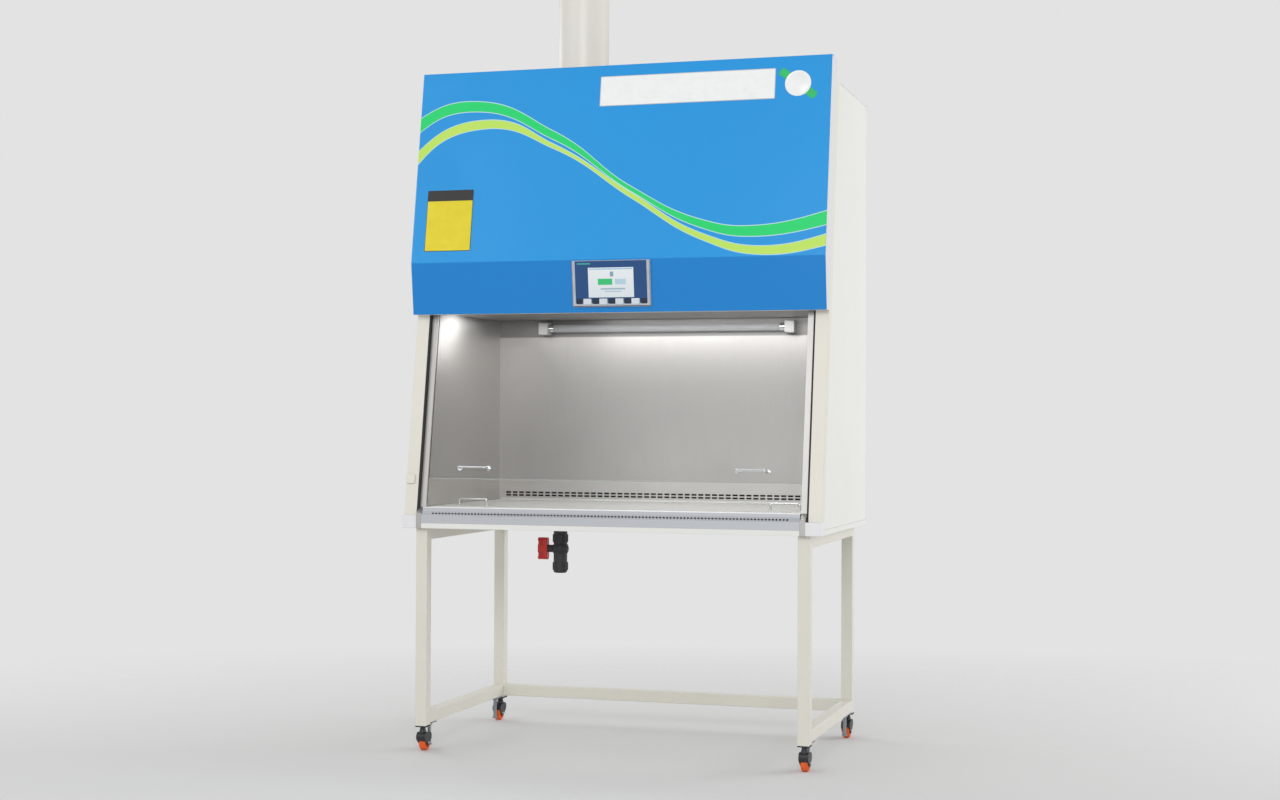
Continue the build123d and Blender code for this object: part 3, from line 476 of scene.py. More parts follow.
GREEN_WAVE = Wave(
    srgb("10D46F"),
    ((-0.675, 2.031), (-0.508, 2.080), (-0.218, 1.972), (0.057, 1.780), (0.298, 1.668), (0.425, 1.649),
     (0.675, 1.690)),
    ((-0.675, 1.985), (-0.508, 2.047), (-0.218, 1.946), (0.057, 1.766), (0.298, 1.643), (0.425, 1.618),
     (0.675, 1.648)),
)
LIME_WAVE = Wave(
    srgb("BEE45F"),
    ((-0.675, 1.922), (-0.450, 2.016), (-0.216, 1.930), (0.057, 1.761), (0.300, 1.624), (0.465, 1.586),
     (0.675, 1.618)),
    ((-0.675, 1.879), (-0.450, 1.989), (-0.216, 1.917), (0.057, 1.746), (0.300, 1.6055), (0.465, 1.5615),
     (0.675, 1.585)),
)


@dataclass(frozen=True)
class CanopyPaint(PowderPaint):
    """Blue paint with two waves that cross the panel from side to side, and painted shade on the lower band below
    the crease.
    """

    coat: float = 0.04
    specular: float = 0.4
    waves: tuple = (GREEN_WAVE, LIME_WAVE)
    pale: tuple = srgb("D8F4E4")
    span: tuple = (-0.675, 0.675)
    rise: tuple = (1.54, 2.10)
    pale_edge: float = 0.0028
    pale_blend: float = 0.0006
    pale_weight: float = 0.75
    wave_blend: float = 0.0003
    # painted shade: the darker blue of the lower band below the crease, which faces down, in place of its shading
    band: tuple = srgb("0880CD")
    crease: tuple = (1.5515, 1.5575)

    def edge_height(self, w: NodeWriter, along: object, points: tuple) -> Socket:
        """The height of a wave's edge.

        Args:
            w: The material's writer.
            along: The place across the panel, from 0 to 1.
            points: The edge's X and height pairs.

        Returns:
            The height's socket, in metres.
        """
        curve = w.node("ShaderNodeFloatCurve")
        line = curve.mapping.curves[0]
        low, high = self.rise
        left, right = self.span
        spots = [((x - left) / (right - left), (z - low) / (high - low)) for x, z in points]
        for spot, place in zip(line.points, (spots[0], spots[-1])):
            spot.location = place
        for place in spots[1:-1]:
            line.points.new(*place)
        curve.mapping.update()
        w.feed(curve.inputs["Value"], along)
        return w.ramp(curve.outputs[0], 0.0, 1.0, low, high)

    def write(self, w: NodeWriter, surface: Node) -> None:
        """Paint the panel with painted shade on its lower band, then lay the waves over it."""
        super().write(w, surface)
        w.fill(surface, Specular_IOR_Level=self.specular)
        plain = surface.inputs["Base Color"].links[0].from_socket
        x, _, z = w.split(w.place())
        # painted shade: darker blue below the crease
        paint = w.mix(w.ramp(z, *self.crease), self.band, plain)
        along = w.ramp(x, *self.span)
        for wave in self.waves:
            over = w.math("SUBTRACT", self.edge_height(w, along, wave.top), z)
            under = w.math("SUBTRACT", z, self.edge_height(w, along, wave.bottom))
            depth = w.math("MINIMUM", over, under)
            halo = w.ramp(depth, -self.pale_edge, -self.pale_edge + self.pale_blend, 0.0, self.pale_weight)
            paint = w.mix(halo, paint, self.pale)
            paint = w.mix(w.ramp(depth, -self.wave_blend, self.wave_blend), paint, wave.color)
        w.fill(surface, Base_Color=w.mix(w.front(), plain, paint))


@dataclass(frozen=True)
class BrushedSheet(Finish):
    """Stainless sheet or bar with a directional grain."""

    color: tuple = srgb("BFBDBA")
    dark: tuple = srgb("A6A4A2")
    roughness: float = 0.44
    along: Axis = Axis.X
    edge: float = 0.0008
    metallic: float = 1.0
    stroke_scales: tuple = (5.0, 900.0)
    cloud_scale: float = 2.2
    weight: float = 0.3
    grain_strength: float = 0.1
    grain_depth: float = 0.00003
    shade_full: float = 0.75
    spread: tuple = (-0.05, 0.08)

    def write(self, w: NodeWriter, surface: Node) -> None:
        """Grain along one axis, with wiped clouds."""
        drawn, fine = self.stroke_scales
        stretch = tuple(drawn if axis is self.along else fine for axis in Axis)
        strokes, height = w.group(EFFECTS.grain, Stretch=stretch).outputs
        marks = [w.math("MULTIPLY", part, self.weight) for part in (strokes, w.clouds(self.cloud_scale))]
        shade = w.math("ADD", *marks)
        w.fill(surface, Base_Color=w.mix(shade, self.color, self.dark), Metallic=self.metallic,
               Roughness=w.varied(shade, self.shade_full, self.roughness, self.spread),
               Normal=w.bump(height, self.grain_strength, self.grain_depth, w.rounded(self.edge)))


@dataclass(frozen=True)
class SillSheet(BrushedSheet):
    """The sill's sheet, with a painted highlight on its level top: near-white and less metallic."""

    # painted highlight: above this height the top is painted near-white and made less metallic, in place of the
    # light it catches
    top: tuple = (0.7744, 0.775)
    painted_top_highlight: tuple = srgb("F4F6F6")
    top_metallic: float = 0.2

    def write(self, w: NodeWriter, surface: Node) -> None:
        """The sheet, then the painted highlight on the top."""
        super().write(w, surface)
        # mask of the level top that carries the painted highlight
        level = w.ramp(w.split(w.place())[2], *self.top)
        w.over(surface, level, self.painted_top_highlight)
        w.fill(surface, Metallic=w.ramp(level, 0.0, 1.0, self.metallic, self.top_metallic))


@dataclass(frozen=True)
class LinerSheet(BrushedSheet):
    """The back liner's sheet, with painted shade on its top band, behind the lamp."""

    # painted shade: above this height the liner is painted darker, in place of the shadow behind the lamp
    band: tuple = (1.340, 1.344)
    painted_band_shade: tuple = srgb("7E7D7B")

    def write(self, w: NodeWriter, surface: Node) -> None:
        """The sheet, then the painted shade on the band."""
        super().write(w, surface)
        # painted shade laid over the grain above the band's height
        w.over(surface, w.ramp(w.split(w.place())[2], *self.band), self.painted_band_shade)


@dataclass(frozen=True)
class RearPaint(PowderPaint):
    """The rear panel's paint, with painted shade, a near-black colour, on its inner face."""

    # painted shade: the inner face, seen from inside the cabinet, is painted near-black in place of the shade
    # there
    inner: tuple = (0.3766, 0.3768)
    painted_shade_area: tuple = (0.0, 1.417, 0.66, 0.675)
    painted_inner_shade: tuple = srgb("1E1F20")

    def write(self, w: NodeWriter, surface: Node) -> None:
        """The paint, then the painted shade on the inner face."""
        super().write(w, surface)
        # mask of the inner face within the area that gets the painted shade
        shaded_inside = w.ramp(w.split(w.place())[1], *self.inner, 1.0, 0.0)
        w.over(surface, w.math("MULTIPLY", shaded_inside, w.block(*self.painted_shade_area)), self.painted_inner_shade)


@dataclass(frozen=True)
class DiffuserSheet(BrushedSheet):
    """Stainless sheet with rows of round holes, drawn as painted shade."""

    pitch: float = 0.009
    hole: float = 0.0022
    # painted shade: near-black in each hole, in place of the shade seen through it
    shaded_inside: tuple = srgb("1A1B1C")

    def write(self, w: NodeWriter, surface: Node) -> None:
        """The sheet, with painted shade in its holes."""
        super().write(w, surface)
        holes = w.group(EFFECTS.perforation, Pitch=self.pitch, Radius=self.hole).outputs[0]
        w.over(surface, holes, self.shaded_inside)


@dataclass(frozen=True)
class MouldedPlastic(Finish):
    """Moulded plastic or rubber with a fine spark-eroded grain."""

    color: tuple = srgb("232427")
    worn: tuple = srgb("2E2F33")
    roughness: float = 0.5
    grain: float = 900.0
    depth: float = 0.00008
    edge: float = 0.001
    mark_scale: float = 30.0
    strength: float = 0.4
    spread: tuple = (-0.06, 0.08)

    def write(self, w: NodeWriter, surface: Node) -> None:
        """Plastic with grain, soft edges and handling marks."""
        marks = w.clouds(self.mark_scale)
        grain = w.group(EFFECTS.peel, Scale=self.grain).outputs[0]
        w.fill(surface, Base_Color=w.mix(marks, self.color, self.worn),
               Roughness=w.varied(marks, 1.0, self.roughness, self.spread),
               Normal=w.bump(grain, self.strength, self.depth, w.rounded(self.edge)))


@dataclass(frozen=True)
class PlatePlastic(MouldedPlastic):
    """The smooth printed plastic of a thin plate."""

    roughness: float = 0.35
    grain: float = 500.0
    depth: float = 0.00003
    edge: float = 0.0004


@dataclass(frozen=True)
class PanelFace(MouldedPlastic):
    """The touch panel's housing: silver frame, dark blue face and dark soft keys.

    A block holds its centre's X and Z, half its width and half its height.
    """

    whole: tuple = (-0.003, 1.4805, 0.1255, 0.0695)
    rim: tuple = srgb("15171B")
    face: tuple = (-0.003, 1.4845, 0.117, 0.066)
    dark: tuple = srgb("0A457C")
    key_places: tuple = (-0.1075, -0.054, -0.001, 0.0505, 0.103)
    key_block: tuple = (1.425, 0.0095, 0.0085)
    key_color: tuple = srgb("0F1D33")
    strip: tuple = (-0.091, 1.5415, 0.022, 0.0022)
    strip_color: tuple = srgb("3FA7A0")

    def write(self, w: NodeWriter, surface: Node) -> None:
        """The plastic, with the printed face over it."""
        super().write(w, surface)
        side = surface.inputs["Base Color"].links[0].from_socket
        paint = w.mix(w.block(*self.whole), self.rim, side)
        paint = w.mix(w.block(*self.face), paint, self.dark)
        for x in self.key_places:
            paint = w.mix(w.block(x, *self.key_block), paint, self.key_color)
        paint = w.mix(w.block(*self.strip), paint, self.strip_color)
        w.fill(surface, Base_Color=w.mix(w.front(), side, paint))


@dataclass(frozen=True)
class ScreenFace(Finish):
    """A lit screen with plain blocks in place of readings."""

    back: tuple = srgb("CBD3D8")
    top: tuple = srgb("D8DDDF")
    rise: tuple = (1.43, 1.53)
    glow: float = 0.18
    mark_scale: float = 40.0
    shine: tuple = (0.12, 0.22)
    blocks: tuple = (
        ((-0.022, 1.485, 0.0235, 0.0095), "2FB46C"),
        ((0.028, 1.485, 0.0175, 0.0085), "A9C2D2"),
        ((0.000, 1.5085, 0.0055, 0.0075), "7E95A8"),
        ((0.0025, 1.463, 0.040, 0.0022), "8DA6B8"),
        ((0.0025, 1.455, 0.027, 0.0016), "9DB4C4"),
        ((-0.003, 1.5245, 0.071, 0.0022), "9CBCD4"),
    )

    def write(self, w: NodeWriter, surface: Node) -> None:
        """Blocks on a pale ground, which glow a little."""
        paint = w.mix(w.ramp(w.split(w.place())[2], *self.rise), self.back, self.top)
        for place, code in self.blocks:
            paint = w.mix(w.block(*place), paint, srgb(code))
        w.fill(surface, Base_Color=paint, Emission_Color=paint, Emission_Strength=self.glow,
               Roughness=w.ramp(w.clouds(self.mark_scale), 0.0, 1.0, *self.shine))


@dataclass(frozen=True)
class ClearGlass(Finish):
    """Clear glass that lets the chamber's light through."""

    color: tuple = srgb("3A3B3C")
    alpha: float = 0.11
    grazing: float = 0.34
    roughness: float = 0.03
    blend: float = 0.25
    smear_scale: float = 4.0
    smear: float = 0.05

    def write(self, w: NodeWriter, surface: Node) -> None:
        """Glass that hides more of what is behind it at a low angle."""
        turned = w.node("ShaderNodeLayerWeight", {"Blend": self.blend}).outputs["Facing"]
        w.fill(surface, Base_Color=self.color, Alpha=w.ramp(turned, 0.0, 1.0, self.alpha, self.grazing),
               Roughness=w.varied(w.clouds(self.smear_scale), 1.0, self.roughness, (0.0, self.smear)))


@dataclass(frozen=True)
class PleatedMedia(Finish):
    """The pleated paper of a filter, with painted shade on its pleats."""

    color: tuple = srgb("F0F1EC")
    # painted shade: the darker colour towards the pleats' folds
    shade: tuple = srgb("C9CBC4")
    pleat: float = 0.0016
    relief: float = 0.8
    roughness: float = 0.9

    def write(self, w: NodeWriter, surface: Node) -> None:
        """Fine pleats across the bed, each painted darker towards one fold as painted shade."""
        fold = w.math("PINGPONG", w.split(w.place())[0], self.pleat)
        w.fill(surface, Base_Color=w.mix(w.ramp(fold, 0.0, self.pleat), self.shade, self.color),
               Normal=w.bump(fold, self.relief, 1.0), Roughness=self.roughness)


class Finishes:
    """Every finish on the cabinet, by what it is used for."""

    cabinet = PowderPaint("cabinet_paint")
    post = PowderPaint("post_paint", srgb("E5E1D7"), srgb("DEDACE"))
    stand = PowderPaint("stand_paint", srgb("E1DED4"), srgb("D9D5C9"), 0.42)
    foot = PowderPaint("foot_paint", srgb("E9E8EA"), srgb("E1E0E3"), 0.4)
    duct = PowderPaint("duct_paint", srgb("E4E1DA"), srgb("DDDAD1"), 0.4)
    cheek = PowderPaint("cheek_paint", srgb("E0E0E1"), srgb("D8D8DA"), 0.36)
    blue = CanopyPaint("canopy_paint", srgb("1197E0"), srgb("0D8FD8"), 0.34)
    blower = PowderPaint("blower_paint", srgb("9AA0A4"), srgb("898F93"), 0.45)
    sheet_x = BrushedSheet("stainless_across")
    sheet_z = BrushedSheet("stainless_upright", along=Axis.Z)
    liner = LinerSheet("stainless_liner", along=Axis.Z)
    rear = RearPaint("rear_paint")
    sill = SillSheet("stainless_sill", srgb("C9CCD1"), srgb("B9BCC1"), 0.36)
    tray = BrushedSheet("stainless_tray", srgb("D0D1CE"), srgb("C2C3C0"), 0.3, metallic=0.7)
    polished = BrushedSheet("polished_bar", srgb("D6D8D9"), srgb("C2C4C6"), 0.18)
    diffuser = DiffuserSheet("diffuser_sheet")
    zinc = BrushedSheet("zinc_plate", srgb("9FA3A6"), srgb("7E8387"), 0.42, Axis.Z)
    rubber = MouldedPlastic("seal_rubber", srgb("1C1D20"), srgb("27282B"), 0.75, 700.0)
    black = MouldedPlastic("black_plastic", srgb("1E1F22"), srgb("2A2B2F"), 0.45)
    white = MouldedPlastic("holder_plastic", srgb("C6C7C5"), srgb("B8B9B7"), 0.3)
    red = MouldedPlastic("handle_plastic", srgb("D0261F"), srgb("B71E19"), 0.32)
    orange = MouldedPlastic("tread_polyurethane", srgb("F0651A"), srgb("D95413"), 0.42)
    face = PanelFace("panel_face", srgb("BCC2CB"), srgb("ABB1BA"), 0.4)
    keys = MouldedPlastic("key_plastic", srgb("DCE3EB"), srgb("CDD5DE"), 0.4)
    screen = ScreenFace("screen_face")
    sash = ClearGlass("sash_glass")
    edge = ClearGlass("glass_edge", srgb("C9CECC"), 0.55, 0.8, 0.1)
    tube = ClearGlass("lamp_glass", srgb("C9CCCE"), 0.4, 0.85, 0.12)
    media = PleatedMedia("filter_media")
    plate_white = PlatePlastic("plate_white", srgb("F4F6F5"), srgb("ECEFEE"), 0.3)
    plate_yellow = PlatePlastic("plate_yellow", srgb("E6D510"), srgb("DFCC0A"))
    plate_black = PlatePlastic("plate_black", srgb("141414"), srgb("1D1D1D"), 0.38)
    plate_green = PlatePlastic("plate_green", srgb("25C26A"), srgb("1FB460"))
    plate_grey = PlatePlastic("plate_grey", srgb("C9CED2"), srgb("BEC4C8"))


# ------------------------------------------------------------------ mesh helpers
@dataclass
class LeaningFace:
    """A flat face that leans back or forward, and holds pieces at a place on it."""

    foot_y: float
    foot_z: float
    lean: float

    def y(self, z: float) -> float:
        """The face's Y at a height."""
        return self.foot_y + (z - self.foot_z) * math.tan(self.lean)

    def frame_at(self, x: float, z: float, out: float = 0.0) -> Matrix:
        """A frame on the face: X across, Y up along it, Z out of it.

        Args:
            x: Place across.
            z: Height.
            out: Distance in front of the face.

        Returns:
            The frame's matrix.
        """
        normal = Vector((0.0, -math.cos(self.lean), math.sin(self.lean)))
        up = Vector((0.0, math.sin(self.lean), math.cos(self.lean)))
        place = Vector((x, self.y(z), z)) + normal * out
        matrix = Matrix((Vector((1.0, 0.0, 0.0)), up, normal)).transposed().to_4x4()
        matrix.translation = place
        return matrix


STAND_SHIFT = 0.0125                                         # stand centre behind the origin
SASH_FACE = LeaningFace(-0.3793 + STAND_SHIFT, 0.710, LEAN)  # front face of the posts
CANOPY_FACE = LeaningFace(-0.3793 + STAND_SHIFT - 0.0846, 0.710, LEAN)


def new_piece(name: str, data: bpy.types.ID | None) -> Piece:
    """An object that is linked to the scene.

    Args:
        name: Its name.
        data: Its mesh, light or camera.

    Returns:
        The object.
    """
    piece = bpy.data.objects.new(name, data)
    bpy.context.scene.collection.objects.link(piece)
    return piece
def finish_mesh(name: str, shape: Shape, place: Matrix, finish: Finish) -> Piece:
    """Turn a shape into a piece whose place is in its mesh.

    Args:
        name: The piece's name.
        shape: The shape, which is freed.
        place: Where it goes.
        finish: Its finish.

    Returns:
        The piece.
    """
    bmesh.ops.transform(shape, matrix=place, verts=shape.verts)
    mesh = bpy.data.meshes.new(name)
    shape.to_mesh(mesh)
    shape.free()
    for polygon in mesh.polygons:
        polygon.use_smooth = True
    mesh.set_sharp_from_angle(angle=SMOOTH_ANGLE)
    mesh.materials.append(finish.build())
    return new_piece(name, mesh)


def dress(piece: Piece, body: str) -> None:
    """Ride a piece on its body.

    Args:
        piece: The piece.
        body: The body that carries it.
    """
    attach(piece, body)
    log.info("piece %s on %s", piece.name, body)


def coat(finish: Finish, *nodes: str) -> None:
    """Give CAD nodes a finish.

    Args:
        finish: The finish.
        nodes: The nodes' names.
    """
    material = finish.build()
    for node in nodes:
        piece = frame["nodes"][node]
        for holder in [piece, *piece.children_recursive]:
            if holder.type == "MESH":
                if not holder.material_slots:
                    holder.data.materials.append(material)
                for spot in holder.material_slots:
                    spot.material = material
        log.info("node %s has %s", node, finish.name)


def box_of(node: str) -> tuple:
    """A CAD node's low corner, high corner and centre."""
    low, high = (Vector(corner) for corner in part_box(node))
    return low, high, (low + high) / 2


def plate_shape(width: float, height: float, corner: float, thickness: float,
                edge: float = 0.0) -> Shape:
    """A thin plate with rounded corners, flat on XY, its back at zero.

    Args:
        width: Size along X.
        height: Size along Y.
        corner: Corner radius.
        thickness: Size along Z.
        edge: Bevel of the front edge.

    Returns:
        The shape.
    """
    shape = bmesh.new()
    outline = []
    steps = 6
    for turn, (sx, sy) in enumerate(((1, 1), (-1, 1), (-1, -1), (1, -1))):
        for step in range(steps + 1):
            angle = math.pi / 2 * (turn + step / steps)
            outline.append(shape.verts.new((
                sx * (width / 2 - corner) + corner * math.cos(angle),
                sy * (height / 2 - corner) + corner * math.sin(angle),
                0.0,
            )))
    back = shape.faces.new(outline)
    raised = bmesh.ops.extrude_face_region(shape, geom=[back])
    front = [item for item in raised["geom"] if isinstance(item, bmesh.types.BMVert)]
    bmesh.ops.translate(shape, vec=(0.0, 0.0, thickness), verts=front)
    bmesh.ops.recalc_face_normals(shape, faces=shape.faces)
    if edge:
        rim = [line for line in shape.edges if all(v.co.z > thickness / 2 for v in line.verts)]
        bmesh.ops.bevel(shape, geom=rim, offset=edge, segments=2, affect="EDGES")
    return shape


def turned_shape(profile: Sequence[tuple], sides: int = 32) -> Shape:
    """A closed shape turned about Z.

    Args:
        profile: Radius and height pairs, from the lower axis to the upper axis.
        sides: Faces around.

    Returns:
        The shape.
    """
    shape = bmesh.new()
    rings = []
    for radius, height in profile:
        if radius <= 1e-6:
            rings.append([shape.verts.new((0.0, 0.0, height))])
            continue
        rings.append([
            shape.verts.new((radius * math.cos(a), radius * math.sin(a), height))
            for a in (2 * math.pi * k / sides for k in range(sides))
        ])
    for low, high in zip(rings, rings[1:]):
        for k in range(sides):
            n = (k + 1) % sides
            corners = [low[k % len(low)], low[n % len(low)], high[n % len(high)], high[k % len(high)]]
            shape.faces.new(list(dict.fromkeys(corners)))
    bmesh.ops.recalc_face_normals(shape, faces=shape.faces)
    return shape


def facing(direction: Vector, place: Sequence[float]) -> Matrix:
    """A matrix that turns Z to a direction and moves to a place.

    Args:
        direction: Where Z points.
        place: The place.

    Returns:
        The matrix.
    """
    matrix = Vector(direction).to_track_quat("Z", "Y").to_matrix().to_4x4()
    matrix.translation = Vector(place)
    return matrix


# ------------------------------------------------------------------ geometry node trees
class Pattern(NodeWriter):
    """A geometry node tree that repeats a small form, with named inputs."""

    def __init__(self, name: str, inputs: dict) -> None:
        """Start the tree with its sockets.

        Args:
            name: The tree's name.
            inputs: Default by input name; a tuple makes a vector, an int a whole number.
        """
        super().__init__(bpy.data.node_groups.new(name, "GeometryNodeTree"))
        self.keys: dict = {}
        face = self.tree.interface
        face.new_socket("Geometry", in_out="INPUT", socket_type="NodeSocketGeometry")
        for label, value in inputs.items():
            kind = {tuple: "NodeSocketVector", int: "NodeSocketInt", float: "NodeSocketFloat"}[type(value)]
            socket = face.new_socket(label, in_out="INPUT", socket_type=kind)
            socket.default_value = value
            self.keys[label] = socket.identifier
        socket = face.new_socket("Material", in_out="INPUT", socket_type="NodeSocketMaterial")
        self.keys["Material"] = socket.identifier
        face.new_socket("Geometry", in_out="OUTPUT", socket_type="NodeSocketGeometry")
        self.start = self.node("NodeGroupInput")
        self.end = self.node("NodeGroupOutput")

    def on_points(self, shape: Socket, **links: object) -> None:
        """End the tree with a shape on each point that it was given.

        Args:
            shape: The shape's socket.
            links: More inputs of the placing node.
        """
        placed = self.node("GeometryNodeInstanceOnPoints", {
            "Points": self.start.outputs["Geometry"], "Instance": shape, **links})
        self.close(placed.outputs[0])

    def close(self, geometry: Socket) -> None:
        """End the tree in Realize Instances and Set Material.

        Args:
            geometry: What the tree has made.
        """
        real = self.node("GeometryNodeRealizeInstances", {"Geometry": geometry})
        given = self.node(
            "GeometryNodeSetMaterial",
            {"Geometry": real.outputs[0], "Material": self.start.outputs["Material"]})
        self.tree.links.new(given.outputs[0], self.end.inputs[0])

    def make(self, name: str, points: Sequence[Sequence[float]], finish: Finish,
             **values: object) -> Piece:
        """Run the tree on a set of points and keep the result as a plain mesh.

        Args:
            name: The piece's name.
            points: The places that the tree starts from.
            finish: The finish of what it makes.
            values: Values by input name, with _ for a space.

        Returns:
            The piece.
        """
        host_mesh = bpy.data.meshes.new(name)
        host_mesh.from_pydata([tuple(point) for point in points], [], [])
        host = new_piece(name + "_host", host_mesh)
        modifier = host.modifiers.new("pattern", "NODES")
        modifier.node_group = self.tree
        modifier[self.keys["Material"]] = finish.build()
        for label, value in values.items():
            modifier[self.keys[label.replace("_", " ")]] = value
        depsgraph = bpy.context.evaluated_depsgraph_get()
        mesh = bpy.data.meshes.new_from_object(host.evaluated_get(depsgraph))
        host.modifiers.remove(modifier)
        bpy.data.objects.remove(host)
        mesh.name = name
        if not mesh.materials:
            mesh.materials.append(finish.build())
        return new_piece(name, mesh)


def fastener_pattern() -> Pattern:
    """Heads with washers on each point, turned the same way."""
    made = Pattern("fasteners", {
        "Head Radius": 0.004, "Head Height": 0.003, "Sides": HeadShape.HEX.value, "Washer Radius": 0.007,
        "Turn": FLAT})
    start = made.start.outputs
    head = made.node("GeometryNodeMeshCone", {
        "Vertices": start["Sides"], "Radius Bottom": start["Head Radius"], "Depth": start["Head Height"],
        "Radius Top": made.math("MULTIPLY", start["Head Radius"], 0.86)})
    washer = made.node("GeometryNodeMeshCone", {
        "Vertices": 20, "Radius Bottom": start["Washer Radius"],
        "Radius Top": made.math("MULTIPLY", start["Washer Radius"], 0.93),
        "Depth": made.math("MULTIPLY", start["Head Height"], 0.3)})
    joined = made.node("GeometryNodeJoinGeometry")
    for source in (head, washer):
        made.feed(joined.inputs[0], source.outputs["Mesh"])
    made.on_points(joined.outputs[0], Rotation=start["Turn"])
    return made


def thread_pattern() -> Pattern:
    """A screw thread that climbs from each point."""
    made = Pattern("screw_thread", {"Radius": 0.006, "Pitch": 0.002, "Length": 0.05, "Depth": 0.0006})
    start = made.start.outputs
    turns = made.math("DIVIDE", start["Length"], start["Pitch"])
    spiral = made.node("GeometryNodeCurveSpiral", {
        "Resolution": 14, "Rotations": turns, "Start Radius": start["Radius"],
        "End Radius": start["Radius"], "Height": start["Length"]})
    ridge = made.node("GeometryNodeCurvePrimitiveCircle", {"Resolution": 4, "Radius": start["Depth"]})
    solid = made.node("GeometryNodeCurveToMesh", {
        "Curve": spiral.outputs[0], "Profile Curve": ridge.outputs[0], "Fill Caps": True})
    made.on_points(solid.outputs[0])
    return made


def rib_pattern() -> Pattern:
    """Ribs that stand in a ring about each point."""
    made = Pattern("rib_ring", {
        "Count": 12, "Ring Radius": 0.02, "Rib Size": (0.002, 0.002, 0.01), "Turn": FLAT})
    start = made.start.outputs
    ring = made.node("GeometryNodeMeshCircle", {"Vertices": start["Count"], "Radius": start["Ring Radius"]})
    spot = made.node("GeometryNodeInputPosition")
    outward = made.node(
        "FunctionNodeAlignRotationToVector", {"Vector": spot.outputs[0]}, axis="X", pivot_axis="Z")
    rib = made.node("GeometryNodeMeshCube", {"Size": start["Rib Size"]})
    ribs = made.node("GeometryNodeInstanceOnPoints", {
        "Points": ring.outputs[0], "Instance": rib.outputs["Mesh"], "Rotation": outward.outputs[0]})
    made.on_points(ribs.outputs[0], Rotation=start["Turn"])
    return made


FASTENERS = fastener_pattern()
THREADS = thread_pattern()
RIBS = rib_pattern()


def row(low: float, high: float, count: int) -> list:
    """Evenly spaced places from low to high.

    Args:
        low: First place.
        high: Last place.
        count: How many.

    Returns:
        The places.
    """
    return [low + (high - low) * k / (count - 1) for k in range(count)]


# ------------------------------------------------------------------ sub-assemblies
@dataclass
class Stand:
    """The rolling tube stand with its casters and levelling jacks."""

    cap_profile: tuple = ((0.0, -0.001), (0.0052, -0.001), (0.0052, 0.0006), (0.0036, 0.0018), (0.0, 0.0022))
    cap_sides: int = 20
    cap_depth: float = 0.0016
    hub_rib_count: int = 6
    hub_ring: float = 0.0108
    hub_rib: tuple = (0.0072, 0.0016)
    hub_inset: float = 0.0024
    thread_radius: float = 0.0057
    thread_pitch: float = 0.002
    thread_depth: float = 0.0006
    thread_gap: float = 0.006

    def build(self) -> None:
        """Coat the stand and add what is fixed to it."""
        coat(Finishes.stand, "stand_side_right", "stand_side_left", "stand_rear_rails")
        coat(Finishes.black, "caster_flanges")
        coat(Finishes.zinc, "jack_nuts")
        for corner in CORNERS:
            self.caster(corner)
            self.jack(corner)

    def caster(self, corner: str) -> None:
        """Dress one caster.

        Args:
            corner: Which leg it is on.
        """
        fork, wheel = f"caster_fork_{corner}", f"caster_wheel_{corner}"
        coat(Finishes.black, fork)
        coat(Finishes.orange, wheel)
        low, high, centre = box_of(wheel)
        fork_low, fork_high, _ = box_of(fork)
        for side, x, way in (("left", fork_low.x, -1.0), ("right", fork_high.x, 1.0)):
            cap = turned_shape(self.cap_profile, self.cap_sides)
            spot = facing((way, 0.0, 0.0), (x - way * self.cap_depth, centre.y, centre.z))
            dress(finish_mesh(f"axle_cap_{corner}_{side}", cap, spot, Finishes.zinc), f"fork_{corner}")
        size = (*self.hub_rib, high.x - low.x - self.hub_inset)
        ribs = RIBS.make(
            f"hub_ribs_{corner}", [centre], Finishes.orange, Count=self.hub_rib_count,
            Ring_Radius=self.hub_ring, Rib_Size=size, Turn=(0.0, math.pi / 2, 0.0))
        dress(ribs, f"wheel_{corner}")

    def jack(self, corner: str) -> None:
        """Dress one levelling jack.

        Args:
            corner: Which leg it is beside.
        """
        node = f"jack_{corner}"
        coat(Finishes.zinc, node)
        low, _, centre = box_of(node)
        nuts_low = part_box("jack_nuts")[0][2]
        thread = THREADS.make(
            f"jack_thread_{corner}", [(centre.x, centre.y, low.z + self.thread_gap)], Finishes.zinc,
            Radius=self.thread_radius, Pitch=self.thread_pitch,
            Length=nuts_low - low.z - 2 * self.thread_gap, Depth=self.thread_depth)
        dress(thread, node)


@dataclass
class Base:
    """The base pan, the catch pan under the tray, and the drain valve."""

    rib_count: int = 24
    rib_ring: float = 0.0243
    rib_size: tuple = (0.0016, 0.0024, 0.02)
    lower_union: float = 0.021
    upper_union: float = 0.028

    def build(self) -> None:
        """Coat the base and dress the valve."""
        coat(Finishes.cabinet, "base_pan")
        coat(Finishes.sheet_x, "drain_pan")
        coat(Finishes.black, "drain_valve_body")
        coat(Finishes.red, "drain_valve_handle")
        low, high, centre = box_of("drain_valve_body")
        x = high.x - (high.y - low.y) / 2
        spots = [(x, centre.y, z) for z in (low.z + self.lower_union, high.z - self.upper_union)]
        ribs = RIBS.make(
            "union_ribs", spots, Finishes.black, Count=self.rib_count, Ring_Radius=self.rib_ring,
            Rib_Size=self.rib_size, Turn=FLAT)
        dress(ribs, "cabinet")


